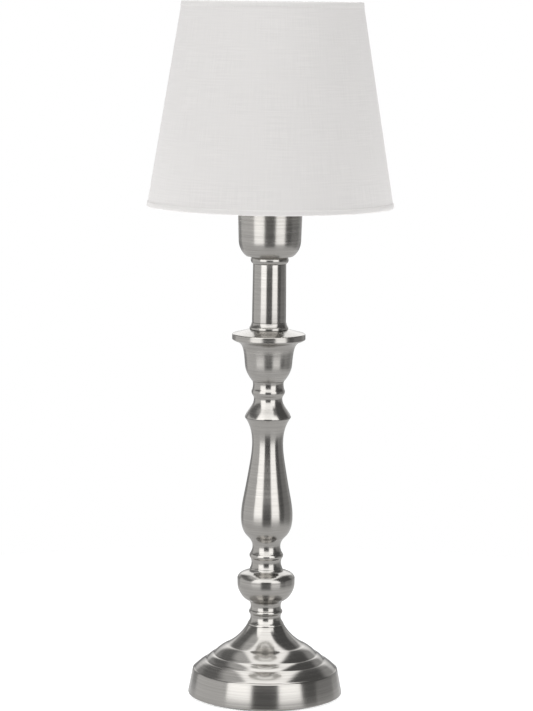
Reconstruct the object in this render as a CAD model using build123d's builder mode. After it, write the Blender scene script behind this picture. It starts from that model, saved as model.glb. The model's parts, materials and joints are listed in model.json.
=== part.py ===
"""Candlestick lamp: a stepped metal foot, a turned stem stacked on a hollow threaded rod, a candle
tube with a drip pan, an E27 lampholder in a metal cup, a bulb, and a tapered drum shade.

Millimetres. +Z is up, the origin is the middle of the felt pad's underside, and the cord inlet
faces +Y, the back of the lamp."""

import os
from math import cos, pi, radians, sin

from build123d import *

os.makedirs("parts", exist_ok=True)

# ---- Clearances and stock -------------------------------------------------------------------
SLEEVE_CLEARANCE = 0.2      # radial, sleeves and nuts on the rod
SEAT_CLEARANCE = 0.3        # radial, loose pieces that drop into one another
THREAD_CLEARANCE = 0.3      # radial, between the crests of the two sides of a screw thread
CONTACT_GAP = 0.1           # axial, between a seated moving piece and what it seats on
SLEEVE_WALL = 1.5           # wall of the hollow stem sleeves

# ---- Foot -----------------------------------------------------------------------------------
FELT_INSET = 3.3            # how far the felt pad stands in from the skirt's lower edge
FELT_THICKNESS = 1.5
COVER_THICKNESS = 1.2
FOOT_WALL = 1.2
FOOT_EDGE_LIFT = 1.2        # gap between the table and the skirt's lower edge
SKIRT_EDGE_ROUND = 0.9
SKIRT_BOTTOM_RADIUS = 62.8
SKIRT_TOP_RADIUS = 59.3
SKIRT_HEIGHT = 19.4
SHOULDER_WIDTH = 1.2        # the rounded top edge of the skirt
SHOULDER_HEIGHT = 1.4
LOW_STEP_WIDTH = 9.9        # the three rolled steps, from the skirt inwards
LOW_STEP_HEIGHT = 7.3
MIDDLE_STEP_WIDTH = 6.2
MIDDLE_STEP_HEIGHT = 4.7
HIGH_STEP_WIDTH = 11.0
HIGH_STEP_HEIGHT = 7.8
LOW_STEP_BULGE = 0.5        # how far each roll stands out from its chord
MIDDLE_STEP_BULGE = 0.45
HIGH_STEP_BULGE = 0.7
TRUMPET_HEIGHT = 16.2
TRUMPET_HOLLOW = 1.5        # how far the trumpet's flare stands in from its chord
WEIGHT_HEIGHT = 15.0
WEIGHT_BOSS_RADIUS = 10.5
NUT_RECESS_RADIUS = 13.0
NUT_RECESS_DEPTH = 11.0
CORD_CHANNEL_WIDTH = 9.0
CORD_CHANNEL_DEPTH = 9.0
INLET_HEIGHT = 10.5         # of the cord inlet's axis over the table
INLET_BORE_RADIUS = 3.6
INLET_NECK_RADIUS = 5.0
INLET_FLANGE_RADIUS = 6.6
INLET_FLANGE_DEPTH = 1.6
INLET_COLLAR_RADIUS = 5.8
INLET_COLLAR_DEPTH = 2.0

# ---- Rod and its nuts -----------------------------------------------------------------------
ROD_RADIUS = 5.0            # M10 x 1
ROD_BORE_RADIUS = 3.8
ROD_END_BELOW_NUT = 1.0
ROD_WASHER_RADIUS = 10.0
ROD_WASHER_THICKNESS = 1.5
ROD_NUT_FLATS = 14.0
ROD_NUT_HEIGHT = 5.0

# ---- Stem sleeves, from the foot up -----------------------------------------------------------
NECK_LIP_RADIUS = 14.9
NECK_LIP_HEIGHT = 1.3
NECK_LIP_DRAW = 0.4         # how much the lip narrows to its top
LOWER_WAIST_RADIUS = 12.4
LOWER_COVE_HEIGHT = 7.6
LOWER_BEAD_RADIUS = 13.7
LOWER_BEAD_HEIGHT = 3.6
BEAD_ROOT_RADIUS = 12.8     # where every bead leaves its neck
LOWER_THROAT_RADIUS = 12.35
LOWER_THROAT_HEIGHT = 6.7

BOWL_FOOT_RADIUS = 13.3
BOWL_RIM_RADIUS = 23.4
BOWL_HEIGHT = 16.6
BOWL_RIM_HEIGHT = 3.2
BOWL_SHOULDER_HEIGHT = 8.1
BOWL_TOP_RADIUS = 13.1

UPPER_WAIST_RADIUS = 12.1
UPPER_COVE_HEIGHT = 8.0
UPPER_BEAD_RADIUS = 13.8
UPPER_BEAD_HEIGHT = 4.5
UPPER_THROAT_RADIUS = 11.4
UPPER_THROAT_HEIGHT = 13.2

VASE_FOOT_RADIUS = 15.2
VASE_BELLY_RADIUS = 20.95
VASE_BELLY_HEIGHT = 14.1
VASE_TAPER_HEIGHT = 64.2
VASE_WAIST_RADIUS = 12.6
VASE_FLARE_HEIGHT = 19.7
VASE_EDGE_RADIUS = 18.6

KNUCKLE_EDGE_HEIGHT = 0.6
KNUCKLE_CONE_HEIGHT = 14.6
KNUCKLE_WAIST_RADIUS = 11.5
KNUCKLE_WAIST_RISE = 3.4
KNUCKLE_BEAD_RADIUS = 13.5
KNUCKLE_BEAD_HEIGHT = 5.0
KNUCKLE_THROAT_RADIUS = 12.35
KNUCKLE_THROAT_HEIGHT = 6.2

SOCKET_FOOT_RADIUS = 12.8
SOCKET_BODY_RADIUS = 19.2
SOCKET_BODY_HEIGHT = 15.2
SOCKET_FLARE_HEIGHT = 17.2
SOCKET_FLARE_RADIUS = 26.5

PAN_RADIUS = 29.6
PAN_UNDER_HEIGHT = 1.8
PAN_RIM_HEIGHT = 4.6
PAN_TOP_RISE = 3.4
PAN_EDGE_ROUND = 0.9

LOWER_COLLAR_RADIUS = 15.6
LOWER_COLLAR_HEIGHT = 5.6
TUBE_RADIUS = 13.7
TUBE_TOP_RADIUS = 13.4
TUBE_WALL = 1.0
TUBE_HEIGHT = 47.6
COLLAR_SPIGOT_HEIGHT = 3.0
UPPER_COLLAR_RADIUS = 15.3
UPPER_COLLAR_HEIGHT = 6.0
COLLAR_STEP = 0.3           # how far the collars stand out from the tube where they meet it

# ---- Lampholder cup and lampholder ------------------------------------------------------------
CUP_WALL = 1.2
CUP_FOOT_RADIUS = 18.8
CUP_SHOULDER_HEIGHT = 13.5
CUP_SHOULDER_RADIUS = 25.2
CUP_RIM_RADIUS = 26.2
CUP_WALL_HEIGHT = 30.5
CUP_WASHER_RADIUS = 9.0
CUP_WASHER_THICKNESS = 1.5
HOLDER_ENTRY_RADIUS = 8.0
HOLDER_ENTRY_HEIGHT = 5.0
HOLDER_GAP_OVER_NUT = 1.2
HOLDER_RADIUS = 18.6
HOLDER_DOME_HEIGHT = 12.5
HOLDER_WALL = 1.8
HOLDER_SKIRT_HEIGHT = 41.0
HOLDER_FLANGE_RADIUS = 23.0
HOLDER_FLANGE_THICKNESS = 2.0
HOLDER_FLANGE_BELOW_RIM = 13.0
HOLDER_THREAD_DEPTH = 1.0
HOLDER_THREAD_PITCH = 2.5
BLOCK_HEIGHT = 7.0
SHELL_WALL = 0.4
SHELL_HEIGHT = 22.0
CONTACT_STRIP_WIDTH = 5.0
CONTACT_STRIP_THICKNESS = 0.6
CENTRE_CONTACT_REACH = 9.0
CENTRE_CONTACT_RISE = 3.0
SIDE_CONTACT_HEIGHT = 8.0
TERMINAL_RADIUS = 1.7
TERMINAL_HEAD_RADIUS = 2.6
TERMINAL_HEAD_HEIGHT = 1.6
TERMINAL_OFFSET = 11.5
RING_RADIUS = 25.0
RING_HEIGHT = 7.0
RING_FLANGE_THICKNESS = 2.0
RING_COLLAR_RADIUS = 22.6
RING_GRIPS = 18
RING_GRIP_RADIUS = 1.2

# ---- Bulb, E27 with a 60 mm pear glass -----------------------------------------------------------
BULB_CREST_RADIUS = 13.1
BULB_ROOT_RADIUS = 12.1
BULB_PITCH = 3.63
BULB_THREAD_TURNS = 4
BULB_CAP_WALL = 0.4
BULB_CAP_COLLAR_HEIGHT = 5.5
BULB_TIP_RADIUS = 4.8
BULB_TIP_HEIGHT = 1.6
BULB_INSULATOR_HEIGHT = 3.6
GLASS_WALL = 0.8
GLASS_NECK_RADIUS = 13.4
GLASS_NECK_HEIGHT = 12.0
GLASS_RADIUS = 30.0
GLASS_CHEEK_HEIGHT = 40.0
STEM_RADIUS = 5.0
STEM_HEIGHT = 34.0
STEM_SEAT_HEIGHT = 6.0
FILAMENT_RADIUS = 0.5
FILAMENT_SPAN = 13.0
FILAMENT_RISE = 12.0

# ---- Shade ---------------------------------------------------------------------------------------
SHADE_BOTTOM_RADIUS = 99.0
SHADE_TOP_RADIUS = 72.3
SHADE_HEIGHT = 163.5
SHADE_DROP = 14.5           # how far the shade's lower edge hangs under the fitter ring
FABRIC_THICKNESS = 0.6
LINER_THICKNESS = 0.4
HEM_PROUD = 0.7
HEM_HEIGHT = 4.2
WIRE_RADIUS = 1.5
ARM_RADIUS = 1.4
ARM_COUNT = 3
ARM_LEVEL_LENGTH = 52.0
ARM_BEND_RADIUS = 12.0
FITTER_RADIUS = 26.5
FITTER_THICKNESS = 1.6
FITTER_CLEARANCE = 0.9      # radial, round the lampholder's thread

# ---- Heights that follow from the sizes above -------------------------------------------------
sleeve_bore = ROD_RADIUS + SLEEVE_CLEARANCE
cover_z = FELT_THICKNESS
weight_z = cover_z + COVER_THICKNESS
skirt_top_z = FOOT_EDGE_LIFT + SKIRT_HEIGHT
shoulder_z = skirt_top_z + SHOULDER_HEIGHT
low_groove_z = shoulder_z + LOW_STEP_HEIGHT
middle_groove_z = low_groove_z + MIDDLE_STEP_HEIGHT
high_groove_z = middle_groove_z + HIGH_STEP_HEIGHT
foot_top_z = high_groove_z + TRUMPET_HEIGHT
shoulder_radius = SKIRT_TOP_RADIUS - SHOULDER_WIDTH
low_groove_radius = shoulder_radius - LOW_STEP_WIDTH
middle_groove_radius = low_groove_radius - MIDDLE_STEP_WIDTH
high_groove_radius = middle_groove_radius - HIGH_STEP_WIDTH

lower_neck_z = foot_top_z
bowl_z = (
    lower_neck_z + NECK_LIP_HEIGHT + LOWER_COVE_HEIGHT + LOWER_BEAD_HEIGHT + LOWER_THROAT_HEIGHT
)
upper_neck_z = bowl_z + BOWL_HEIGHT + BOWL_RIM_HEIGHT + BOWL_SHOULDER_HEIGHT
vase_z = upper_neck_z + UPPER_COVE_HEIGHT + UPPER_BEAD_HEIGHT + UPPER_THROAT_HEIGHT
knuckle_z = vase_z + VASE_BELLY_HEIGHT + VASE_TAPER_HEIGHT + VASE_FLARE_HEIGHT
socket_z = (
    knuckle_z + KNUCKLE_EDGE_HEIGHT + KNUCKLE_CONE_HEIGHT + KNUCKLE_WAIST_RISE
    + KNUCKLE_BEAD_HEIGHT + KNUCKLE_THROAT_HEIGHT
)
pan_z = socket_z + SOCKET_BODY_HEIGHT + SOCKET_FLARE_HEIGHT
lower_collar_z = pan_z + PAN_UNDER_HEIGHT + PAN_RIM_HEIGHT + PAN_TOP_RISE
tube_z = lower_collar_z + LOWER_COLLAR_HEIGHT
upper_collar_z = tube_z + TUBE_HEIGHT
cup_z = upper_collar_z + UPPER_COLLAR_HEIGHT
cup_washer_z = cup_z + CUP_WALL
cup_nut_z = cup_washer_z + CUP_WASHER_THICKNESS
holder_z = cup_nut_z + ROD_NUT_HEIGHT + HOLDER_GAP_OVER_NUT
holder_skirt_z = holder_z + HOLDER_ENTRY_HEIGHT + HOLDER_DOME_HEIGHT
holder_rim_z = holder_skirt_z + HOLDER_SKIRT_HEIGHT
flange_top_z = holder_rim_z - HOLDER_FLANGE_BELOW_RIM
fitter_z = flange_top_z + CONTACT_GAP
ring_z = fitter_z + FITTER_THICKNESS + CONTACT_GAP
shade_z = fitter_z - SHADE_DROP
shade_top_z = shade_z + SHADE_HEIGHT
rod_nut_z = weight_z + NUT_RECESS_DEPTH - ROD_WASHER_THICKNESS - ROD_NUT_HEIGHT
rod_z = rod_nut_z - ROD_END_BELOW_NUT
rod_top_z = holder_z + HOLDER_ENTRY_HEIGHT

block_top_z = holder_skirt_z + BLOCK_HEIGHT
centre_contact_top_z = block_top_z + CENTRE_CONTACT_RISE
bulb_tip_z = centre_contact_top_z + CONTACT_GAP
bulb_insulator_z = bulb_tip_z + BULB_TIP_HEIGHT
bulb_cap_z = bulb_insulator_z + BULB_INSULATOR_HEIGHT
bulb_collar_z = bulb_cap_z + BULB_THREAD_TURNS * BULB_PITCH
glass_z = bulb_collar_z + BULB_CAP_COLLAR_HEIGHT
shell_bore = BULB_CREST_RADIUS + THREAD_CLEARANCE
shell_radius = shell_bore + SHELL_WALL
block_radius = HOLDER_RADIUS - HOLDER_WALL - SEAT_CLEARANCE


# ---- Outlines and turned pieces -----------------------------------------------------------------
def bead(root_radius, radius, low_z, height):
    """The rounded outline of a turned bead, from its lower root to its upper one."""
    return ThreePointArc((root_radius, low_z), (radius, low_z + height / 2), (root_radius, low_z + height))


def bulged(start, end, bulge):
    """An arc from start to end that stands out to the right of the way it goes by bulge."""
    chord = Vector(*end) - Vector(*start)
    outward = Vector(chord.Y, -chord.X).normalized()
    middle = (Vector(*start) + Vector(*end)) / 2 + outward * bulge
    return ThreePointArc(start, middle, end)


def turned(outline, bore):
    """A turned sleeve: an outline from its bottom to its top, closed by a straight bore."""
    start, end = outline[0] @ 0, outline[-1] @ 1
    with BuildPart() as sleeve:
        with BuildSketch(Plane.XZ):
            with BuildLine():
                add(outline)
                Polyline(end, (bore, end.Y), (bore, start.Y), start)
            make_face()
        revolve(axis=Axis.Z)
    return sleeve


def hollowed(outline, cavity, bore):
    """A turned sleeve with a turned cavity round the rod, closed at both ends."""
    start, end = cavity[0] @ 0, cavity[-1] @ 1
    with BuildPart() as sleeve:
        add(turned(outline, bore).part)
        with BuildSketch(Plane.XZ):
            with BuildLine():
                add(cavity)
                Polyline(end, (bore, end.Y), (bore, start.Y), start)
            make_face()
        revolve(axis=Axis.Z, mode=Mode.SUBTRACT)
    return sleeve


def disc(radius, bore, low_z, height):
    """A flat ring or, with no bore, a flat disc."""
    with BuildPart() as ring:
        with BuildSketch(Plane.XY.offset(low_z)):
            Circle(radius)
            if bore:
                Circle(bore, mode=Mode.SUBTRACT)
        extrude(amount=height)
    return ring


def hex_nut(low_z):
    """A hexagon nut on the rod, with its corners chamfered at both ends."""
    corner_radius = ROD_NUT_FLATS / 2 / cos(pi / 6)
    chamfer_depth = corner_radius - ROD_NUT_FLATS / 2
    with BuildPart() as nut:
        with BuildSketch(Plane.XY.offset(low_z)):
            RegularPolygon(corner_radius, 6)
            Circle(sleeve_bore, mode=Mode.SUBTRACT)
        extrude(amount=ROD_NUT_HEIGHT)
        with BuildSketch(Plane.XZ):
            with BuildLine():
                Polyline(
                    (0, low_z),
                    (ROD_NUT_FLATS / 2, low_z),
                    (corner_radius, low_z + chamfer_depth / 2),
                    (corner_radius, low_z + ROD_NUT_HEIGHT - chamfer_depth / 2),
                    (ROD_NUT_FLATS / 2, low_z + ROD_NUT_HEIGHT),
                    (0, low_z + ROD_NUT_HEIGHT),
                    close=True,
                )
            make_face()
        revolve(axis=Axis.Z, mode=Mode.INTERSECT)
    return nut


pieces = {}

# ---- Foot -----------------------------------------------------------------------------------
pieces["felt_pad"] = disc(SKIRT_BOTTOM_RADIUS - FELT_INSET, 0, 0, FELT_THICKNESS)

skirt_slope = (SKIRT_BOTTOM_RADIUS - SKIRT_TOP_RADIUS) / SKIRT_HEIGHT


def foot_outline(inset):
    """The foot's outline from the skirt's lower edge to the top of the trumpet, or its inner side."""
    bottom_z = FOOT_EDGE_LIFT
    skirt_low = (SKIRT_BOTTOM_RADIUS - inset, bottom_z + SKIRT_EDGE_ROUND)
    skirt_high = (SKIRT_TOP_RADIUS - inset, skirt_top_z - inset)
    shoulder = (shoulder_radius - inset, shoulder_z - inset)
    low_groove = (low_groove_radius - inset, low_groove_z - inset)
    middle_groove = (middle_groove_radius - inset, middle_groove_z - inset)
    high_groove = (high_groove_radius - inset, high_groove_z - inset)
    neck = (NECK_LIP_RADIUS - inset, foot_top_z - inset)
    if inset:
        lower_edge = Line((SKIRT_BOTTOM_RADIUS - inset, bottom_z), skirt_low)
    else:
        lower_edge = bulged(
            (SKIRT_BOTTOM_RADIUS - SKIRT_EDGE_ROUND, bottom_z), skirt_low, SKIRT_EDGE_ROUND / 4
        )
    return [
        lower_edge,
        Line(skirt_low, skirt_high),
        bulged(skirt_high, shoulder, SHOULDER_WIDTH / 5),
        bulged(shoulder, low_groove, LOW_STEP_BULGE),
        bulged(low_groove, middle_groove, MIDDLE_STEP_BULGE),
        bulged(middle_groove, high_groove, HIGH_STEP_BULGE),
        bulged(high_groove, neck, -TRUMPET_HOLLOW),
    ]


inlet_skirt_radius = SKIRT_BOTTOM_RADIUS - (INLET_HEIGHT - FOOT_EDGE_LIFT) * skirt_slope
inlet_plane = Plane(origin=(0, inlet_skirt_radius, INLET_HEIGHT), x_dir=(1, 0, 0), z_dir=(0, 1, skirt_slope))
inlet_sag = INLET_FLANGE_RADIUS**2 / inlet_skirt_radius     # the skirt's curve under the flange

foot_outside = foot_outline(0)
foot_inside = foot_outline(FOOT_WALL)
with BuildPart() as foot_shell:
    with BuildSketch(Plane.XZ):
        with BuildLine():
            add(foot_outside)
            add(foot_inside)
            Line(foot_outside[0] @ 0, foot_inside[0] @ 0)
            Polyline(
                foot_outside[-1] @ 1,
                (sleeve_bore, foot_top_z),
                (sleeve_bore, foot_top_z - FOOT_WALL),
                foot_inside[-1] @ 1,
            )
        make_face()
    revolve(axis=Axis.Z)
    with BuildSketch(inlet_plane):
        Circle(INLET_NECK_RADIUS)
    extrude(amount=SKIRT_BOTTOM_RADIUS / 4, both=True, mode=Mode.SUBTRACT)
pieces["foot_shell"] = foot_shell


def skirt_room(z):
    """The radius of what fits loosely inside the skirt up to a height."""
    return SKIRT_BOTTOM_RADIUS - (z - FOOT_EDGE_LIFT) * skirt_slope - FOOT_WALL - SEAT_CLEARANCE


pieces["cover_plate"] = disc(skirt_room(weight_z), 0, cover_z, COVER_THICKNESS)

weight_top_z = weight_z + WEIGHT_HEIGHT
weight_radius = skirt_room(weight_z) - SEAT_CLEARANCE
# The weight goes in through the skirt's mouth, so its top is never its wider end.
weight_top_radius = min(skirt_room(weight_top_z) - SEAT_CLEARANCE, weight_radius)
collar_reach = INLET_COLLAR_DEPTH + FOOT_WALL + INLET_FLANGE_DEPTH
with BuildPart() as base_weight:
    with BuildSketch(Plane.XZ):
        with BuildLine():
            Polyline(
                (sleeve_bore, weight_z),
                (weight_radius, weight_z),
                (weight_top_radius, weight_top_z),
                (WEIGHT_BOSS_RADIUS, weight_top_z),
                (WEIGHT_BOSS_RADIUS, foot_top_z - FOOT_WALL),
                (sleeve_bore, foot_top_z - FOOT_WALL),
                close=True,
            )
        make_face()
    revolve(axis=Axis.Z)
    with BuildSketch(Plane.XY.offset(weight_z)):
        Circle(NUT_RECESS_RADIUS)
    extrude(amount=NUT_RECESS_DEPTH, mode=Mode.SUBTRACT)
    with BuildSketch(Plane.XY.offset(weight_z)):
        with Locations((0, SKIRT_BOTTOM_RADIUS / 2)):
            Rectangle(CORD_CHANNEL_WIDTH, SKIRT_BOTTOM_RADIUS)
    extrude(amount=CORD_CHANNEL_DEPTH, mode=Mode.SUBTRACT)
    with BuildSketch(inlet_plane):
        Circle(INLET_FLANGE_RADIUS + SEAT_CLEARANCE)
    extrude(amount=-2 * collar_reach, mode=Mode.SUBTRACT)
pieces["base_weight"] = base_weight

with BuildPart() as cord_inlet:
    with BuildSketch(inlet_plane.offset(-inlet_sag)):
        Circle(INLET_FLANGE_RADIUS)
    extrude(amount=inlet_sag + INLET_FLANGE_DEPTH)
    with BuildSketch(inlet_plane):
        Circle(INLET_COLLAR_RADIUS)
    extrude(amount=-FOOT_WALL - INLET_COLLAR_DEPTH)
    add(foot_shell.part, mode=Mode.SUBTRACT)
    with BuildSketch(inlet_plane):
        Circle(INLET_BORE_RADIUS)
    extrude(amount=SKIRT_BOTTOM_RADIUS / 4, both=True, mode=Mode.SUBTRACT)
pieces["cord_inlet"] = cord_inlet

# ---- Rod and its nuts -----------------------------------------------------------------------
pieces["threaded_rod"] = disc(ROD_RADIUS, ROD_BORE_RADIUS, rod_z, rod_top_z - rod_z)
pieces["rod_washer"] = disc(
    ROD_WASHER_RADIUS, sleeve_bore, rod_nut_z + ROD_NUT_HEIGHT, ROD_WASHER_THICKNESS
)
pieces["rod_nut"] = hex_nut(rod_nut_z)
pieces["cup_washer"] = disc(CUP_WASHER_RADIUS, sleeve_bore, cup_washer_z, CUP_WASHER_THICKNESS)
pieces["cup_nut"] = hex_nut(cup_nut_z)

# ---- Stem -----------------------------------------------------------------------------------
lip_top_z = lower_neck_z + NECK_LIP_HEIGHT
lower_bead_z = lip_top_z + LOWER_COVE_HEIGHT
lower_throat_z = lower_bead_z + LOWER_BEAD_HEIGHT
lip_top_radius = NECK_LIP_RADIUS - NECK_LIP_DRAW
pieces["lower_neck"] = turned(
    [
        Line((NECK_LIP_RADIUS, lower_neck_z), (lip_top_radius, lip_top_z)),
        Spline(
            (lip_top_radius, lip_top_z),
            (LOWER_WAIST_RADIUS, lower_bead_z - LOWER_COVE_HEIGHT / 4),
            (BEAD_ROOT_RADIUS, lower_bead_z),
        ),
        bead(BEAD_ROOT_RADIUS, LOWER_BEAD_RADIUS, lower_bead_z, LOWER_BEAD_HEIGHT),
        Spline(
            (BEAD_ROOT_RADIUS, lower_throat_z),
            (LOWER_THROAT_RADIUS, lower_throat_z + LOWER_THROAT_HEIGHT / 2),
            (BOWL_FOOT_RADIUS, bowl_z),
        ),
    ],
    sleeve_bore,
)

bowl_rim_z = bowl_z + BOWL_HEIGHT
bowl_shoulder_z = bowl_rim_z + BOWL_RIM_HEIGHT
bowl_inner_radius = BOWL_RIM_RADIUS - SLEEVE_WALL
bowl_swell = BOWL_RIM_RADIUS - BOWL_FOOT_RADIUS
pieces["bowl"] = hollowed(
    [
        Spline(
            (BOWL_FOOT_RADIUS, bowl_z),
            (BOWL_FOOT_RADIUS + 0.44 * bowl_swell, bowl_z + 0.18 * BOWL_HEIGHT),
            (BOWL_FOOT_RADIUS + 0.82 * bowl_swell, bowl_z + 0.5 * BOWL_HEIGHT),
            (BOWL_RIM_RADIUS, bowl_rim_z),
            tangents=[(1, 0.75), (0, 1)],
        ),
        Line((BOWL_RIM_RADIUS, bowl_rim_z), (BOWL_RIM_RADIUS, bowl_shoulder_z)),
        Spline(
            (BOWL_RIM_RADIUS, bowl_shoulder_z),
            (0.5 * (BOWL_RIM_RADIUS + BOWL_TOP_RADIUS), bowl_shoulder_z + 0.56 * BOWL_SHOULDER_HEIGHT),
            (BOWL_TOP_RADIUS, upper_neck_z),
            tangents=[(-0.35, 1), (-0.15, 1)],
        ),
    ],
    [
        Line(
            (BOWL_FOOT_RADIUS, bowl_z + 0.4 * BOWL_HEIGHT),
            (BOWL_FOOT_RADIUS + 0.5 * bowl_swell, bowl_z + 0.45 * BOWL_HEIGHT),
        ),
        Line(
            (BOWL_FOOT_RADIUS + 0.5 * bowl_swell, bowl_z + 0.45 * BOWL_HEIGHT),
            (bowl_inner_radius, bowl_rim_z),
        ),
        Line((bowl_inner_radius, bowl_rim_z), (bowl_inner_radius, bowl_shoulder_z)),
    ],
    sleeve_bore,
)

upper_bead_z = upper_neck_z + UPPER_COVE_HEIGHT
upper_throat_z = upper_bead_z + UPPER_BEAD_HEIGHT
pieces["upper_neck"] = turned(
    [
        Spline(
            (BOWL_TOP_RADIUS, upper_neck_z),
            (UPPER_WAIST_RADIUS, upper_neck_z + UPPER_COVE_HEIGHT / 2),
            (BEAD_ROOT_RADIUS, upper_bead_z),
        ),
        bead(BEAD_ROOT_RADIUS, UPPER_BEAD_RADIUS, upper_bead_z, UPPER_BEAD_HEIGHT),
        Spline(
            (BEAD_ROOT_RADIUS, upper_throat_z),
            (UPPER_THROAT_RADIUS, upper_throat_z + UPPER_THROAT_HEIGHT * 0.46),
            (VASE_FOOT_RADIUS, vase_z),
        ),
    ],
    sleeve_bore,
)

vase_belly_z = vase_z + VASE_BELLY_HEIGHT
vase_waist_z = vase_belly_z + VASE_TAPER_HEIGHT
vase_taper = VASE_BELLY_RADIUS - VASE_WAIST_RADIUS
vase_flare = VASE_EDGE_RADIUS - VASE_WAIST_RADIUS
vase_swell = VASE_BELLY_RADIUS - VASE_FOOT_RADIUS


def vase_points(inset):
    """The vase's outline between its two ends, or its inner side."""
    return [
        (VASE_FOOT_RADIUS + 0.68 * vase_swell - inset, vase_z + 0.39 * VASE_BELLY_HEIGHT),
        (VASE_BELLY_RADIUS - inset, vase_belly_z),
        (VASE_WAIST_RADIUS + 0.68 * vase_taper - inset, vase_belly_z + 0.36 * VASE_TAPER_HEIGHT),
        (VASE_WAIST_RADIUS + 0.26 * vase_taper - inset, vase_belly_z + 0.67 * VASE_TAPER_HEIGHT),
        (VASE_WAIST_RADIUS - inset, vase_waist_z),
        (VASE_WAIST_RADIUS + 0.34 * vase_flare - inset, vase_waist_z + 0.62 * VASE_FLARE_HEIGHT),
    ]


pieces["vase"] = hollowed(
    [
        Spline(
            (VASE_FOOT_RADIUS, vase_z),
            *vase_points(0),
            (VASE_EDGE_RADIUS, knuckle_z),
        )
    ],
    [Spline(*vase_points(SLEEVE_WALL))],
    sleeve_bore,
)

knuckle_cone_z = knuckle_z + KNUCKLE_EDGE_HEIGHT
knuckle_waist_z = knuckle_cone_z + KNUCKLE_CONE_HEIGHT
knuckle_bead_z = knuckle_waist_z + KNUCKLE_WAIST_RISE
knuckle_throat_z = knuckle_bead_z + KNUCKLE_BEAD_HEIGHT
knuckle_narrowing = VASE_EDGE_RADIUS - KNUCKLE_WAIST_RADIUS
pieces["knuckle"] = turned(
    [
        Line((VASE_EDGE_RADIUS, knuckle_z), (VASE_EDGE_RADIUS, knuckle_cone_z)),
        Spline(
            (VASE_EDGE_RADIUS, knuckle_cone_z),
            (VASE_EDGE_RADIUS - 0.46 * knuckle_narrowing, knuckle_cone_z + 0.41 * KNUCKLE_CONE_HEIGHT),
            (VASE_EDGE_RADIUS - 0.78 * knuckle_narrowing, knuckle_cone_z + 0.65 * KNUCKLE_CONE_HEIGHT),
            (KNUCKLE_WAIST_RADIUS, knuckle_waist_z),
            (BEAD_ROOT_RADIUS, knuckle_bead_z),
        ),
        bead(BEAD_ROOT_RADIUS, KNUCKLE_BEAD_RADIUS, knuckle_bead_z, KNUCKLE_BEAD_HEIGHT),
        Spline(
            (BEAD_ROOT_RADIUS, knuckle_throat_z),
            (KNUCKLE_THROAT_RADIUS, knuckle_throat_z + KNUCKLE_THROAT_HEIGHT / 2),
            (SOCKET_FOOT_RADIUS, socket_z),
        ),
    ],
    sleeve_bore,
)

socket_body_z = socket_z + SOCKET_BODY_HEIGHT
socket_swell = SOCKET_BODY_RADIUS - SOCKET_FOOT_RADIUS
socket_flare = SOCKET_FLARE_RADIUS - SOCKET_BODY_RADIUS


def socket_points(inset):
    """The candle socket's outline between its two ends, or its inner side."""
    return [
        (SOCKET_FOOT_RADIUS + 0.55 * socket_swell - inset, socket_z + 0.32 * SOCKET_BODY_HEIGHT),
        (SOCKET_FOOT_RADIUS + 0.9 * socket_swell - inset, socket_z + 0.68 * SOCKET_BODY_HEIGHT),
        (SOCKET_BODY_RADIUS - inset, socket_body_z),
        (SOCKET_BODY_RADIUS + 0.14 * socket_flare - inset, socket_body_z + 0.5 * SOCKET_FLARE_HEIGHT),
        (SOCKET_BODY_RADIUS + 0.43 * socket_flare - inset, socket_body_z + 0.84 * SOCKET_FLARE_HEIGHT),
    ]


pieces["candle_socket"] = hollowed(
    [
        Spline(
            (SOCKET_FOOT_RADIUS, socket_z),
            *socket_points(0),
            (SOCKET_FLARE_RADIUS, pan_z),
        )
    ],
    [Spline(*socket_points(SLEEVE_WALL))],
    sleeve_bore,
)

pan_rim_z = pan_z + PAN_UNDER_HEIGHT
pan_rim_top_z = pan_rim_z + PAN_RIM_HEIGHT
pieces["drip_pan"] = turned(
    [
        bulged((SOCKET_FLARE_RADIUS, pan_z), (PAN_RADIUS, pan_rim_z), PAN_EDGE_ROUND / 4),
        Line((PAN_RADIUS, pan_rim_z), (PAN_RADIUS, pan_rim_top_z - PAN_EDGE_ROUND)),
        bulged(
            (PAN_RADIUS, pan_rim_top_z - PAN_EDGE_ROUND),
            (PAN_RADIUS - PAN_EDGE_ROUND, pan_rim_top_z),
            PAN_EDGE_ROUND / 4,
        ),
        Line((PAN_RADIUS - PAN_EDGE_ROUND, pan_rim_top_z), (LOWER_COLLAR_RADIUS, lower_collar_z)),
    ],
    sleeve_bore,
)

spigot_radius = TUBE_RADIUS - TUBE_WALL - SLEEVE_CLEARANCE
upper_spigot_radius = TUBE_TOP_RADIUS - TUBE_WALL - SLEEVE_CLEARANCE
pieces["lower_collar"] = turned(
    [
        Line(
            (LOWER_COLLAR_RADIUS, lower_collar_z),
            (LOWER_COLLAR_RADIUS, lower_collar_z + LOWER_COLLAR_HEIGHT * 0.3),
        ),
        bulged(
            (LOWER_COLLAR_RADIUS, lower_collar_z + LOWER_COLLAR_HEIGHT * 0.3),
            (TUBE_RADIUS + COLLAR_STEP, tube_z),
            -COLLAR_STEP,
        ),
        Polyline(
            (TUBE_RADIUS + COLLAR_STEP, tube_z),
            (spigot_radius, tube_z),
            (spigot_radius, tube_z + COLLAR_SPIGOT_HEIGHT),
        ),
    ],
    sleeve_bore,
)

with BuildPart() as candle_tube:
    with BuildSketch(Plane.XZ):
        with BuildLine():
            Polyline(
                (TUBE_RADIUS, tube_z),
                (TUBE_TOP_RADIUS, upper_collar_z),
                (TUBE_TOP_RADIUS - TUBE_WALL, upper_collar_z),
                (TUBE_RADIUS - TUBE_WALL, tube_z),
                close=True,
            )
        make_face()
    revolve(axis=Axis.Z)
pieces["candle_tube"] = candle_tube

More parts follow.
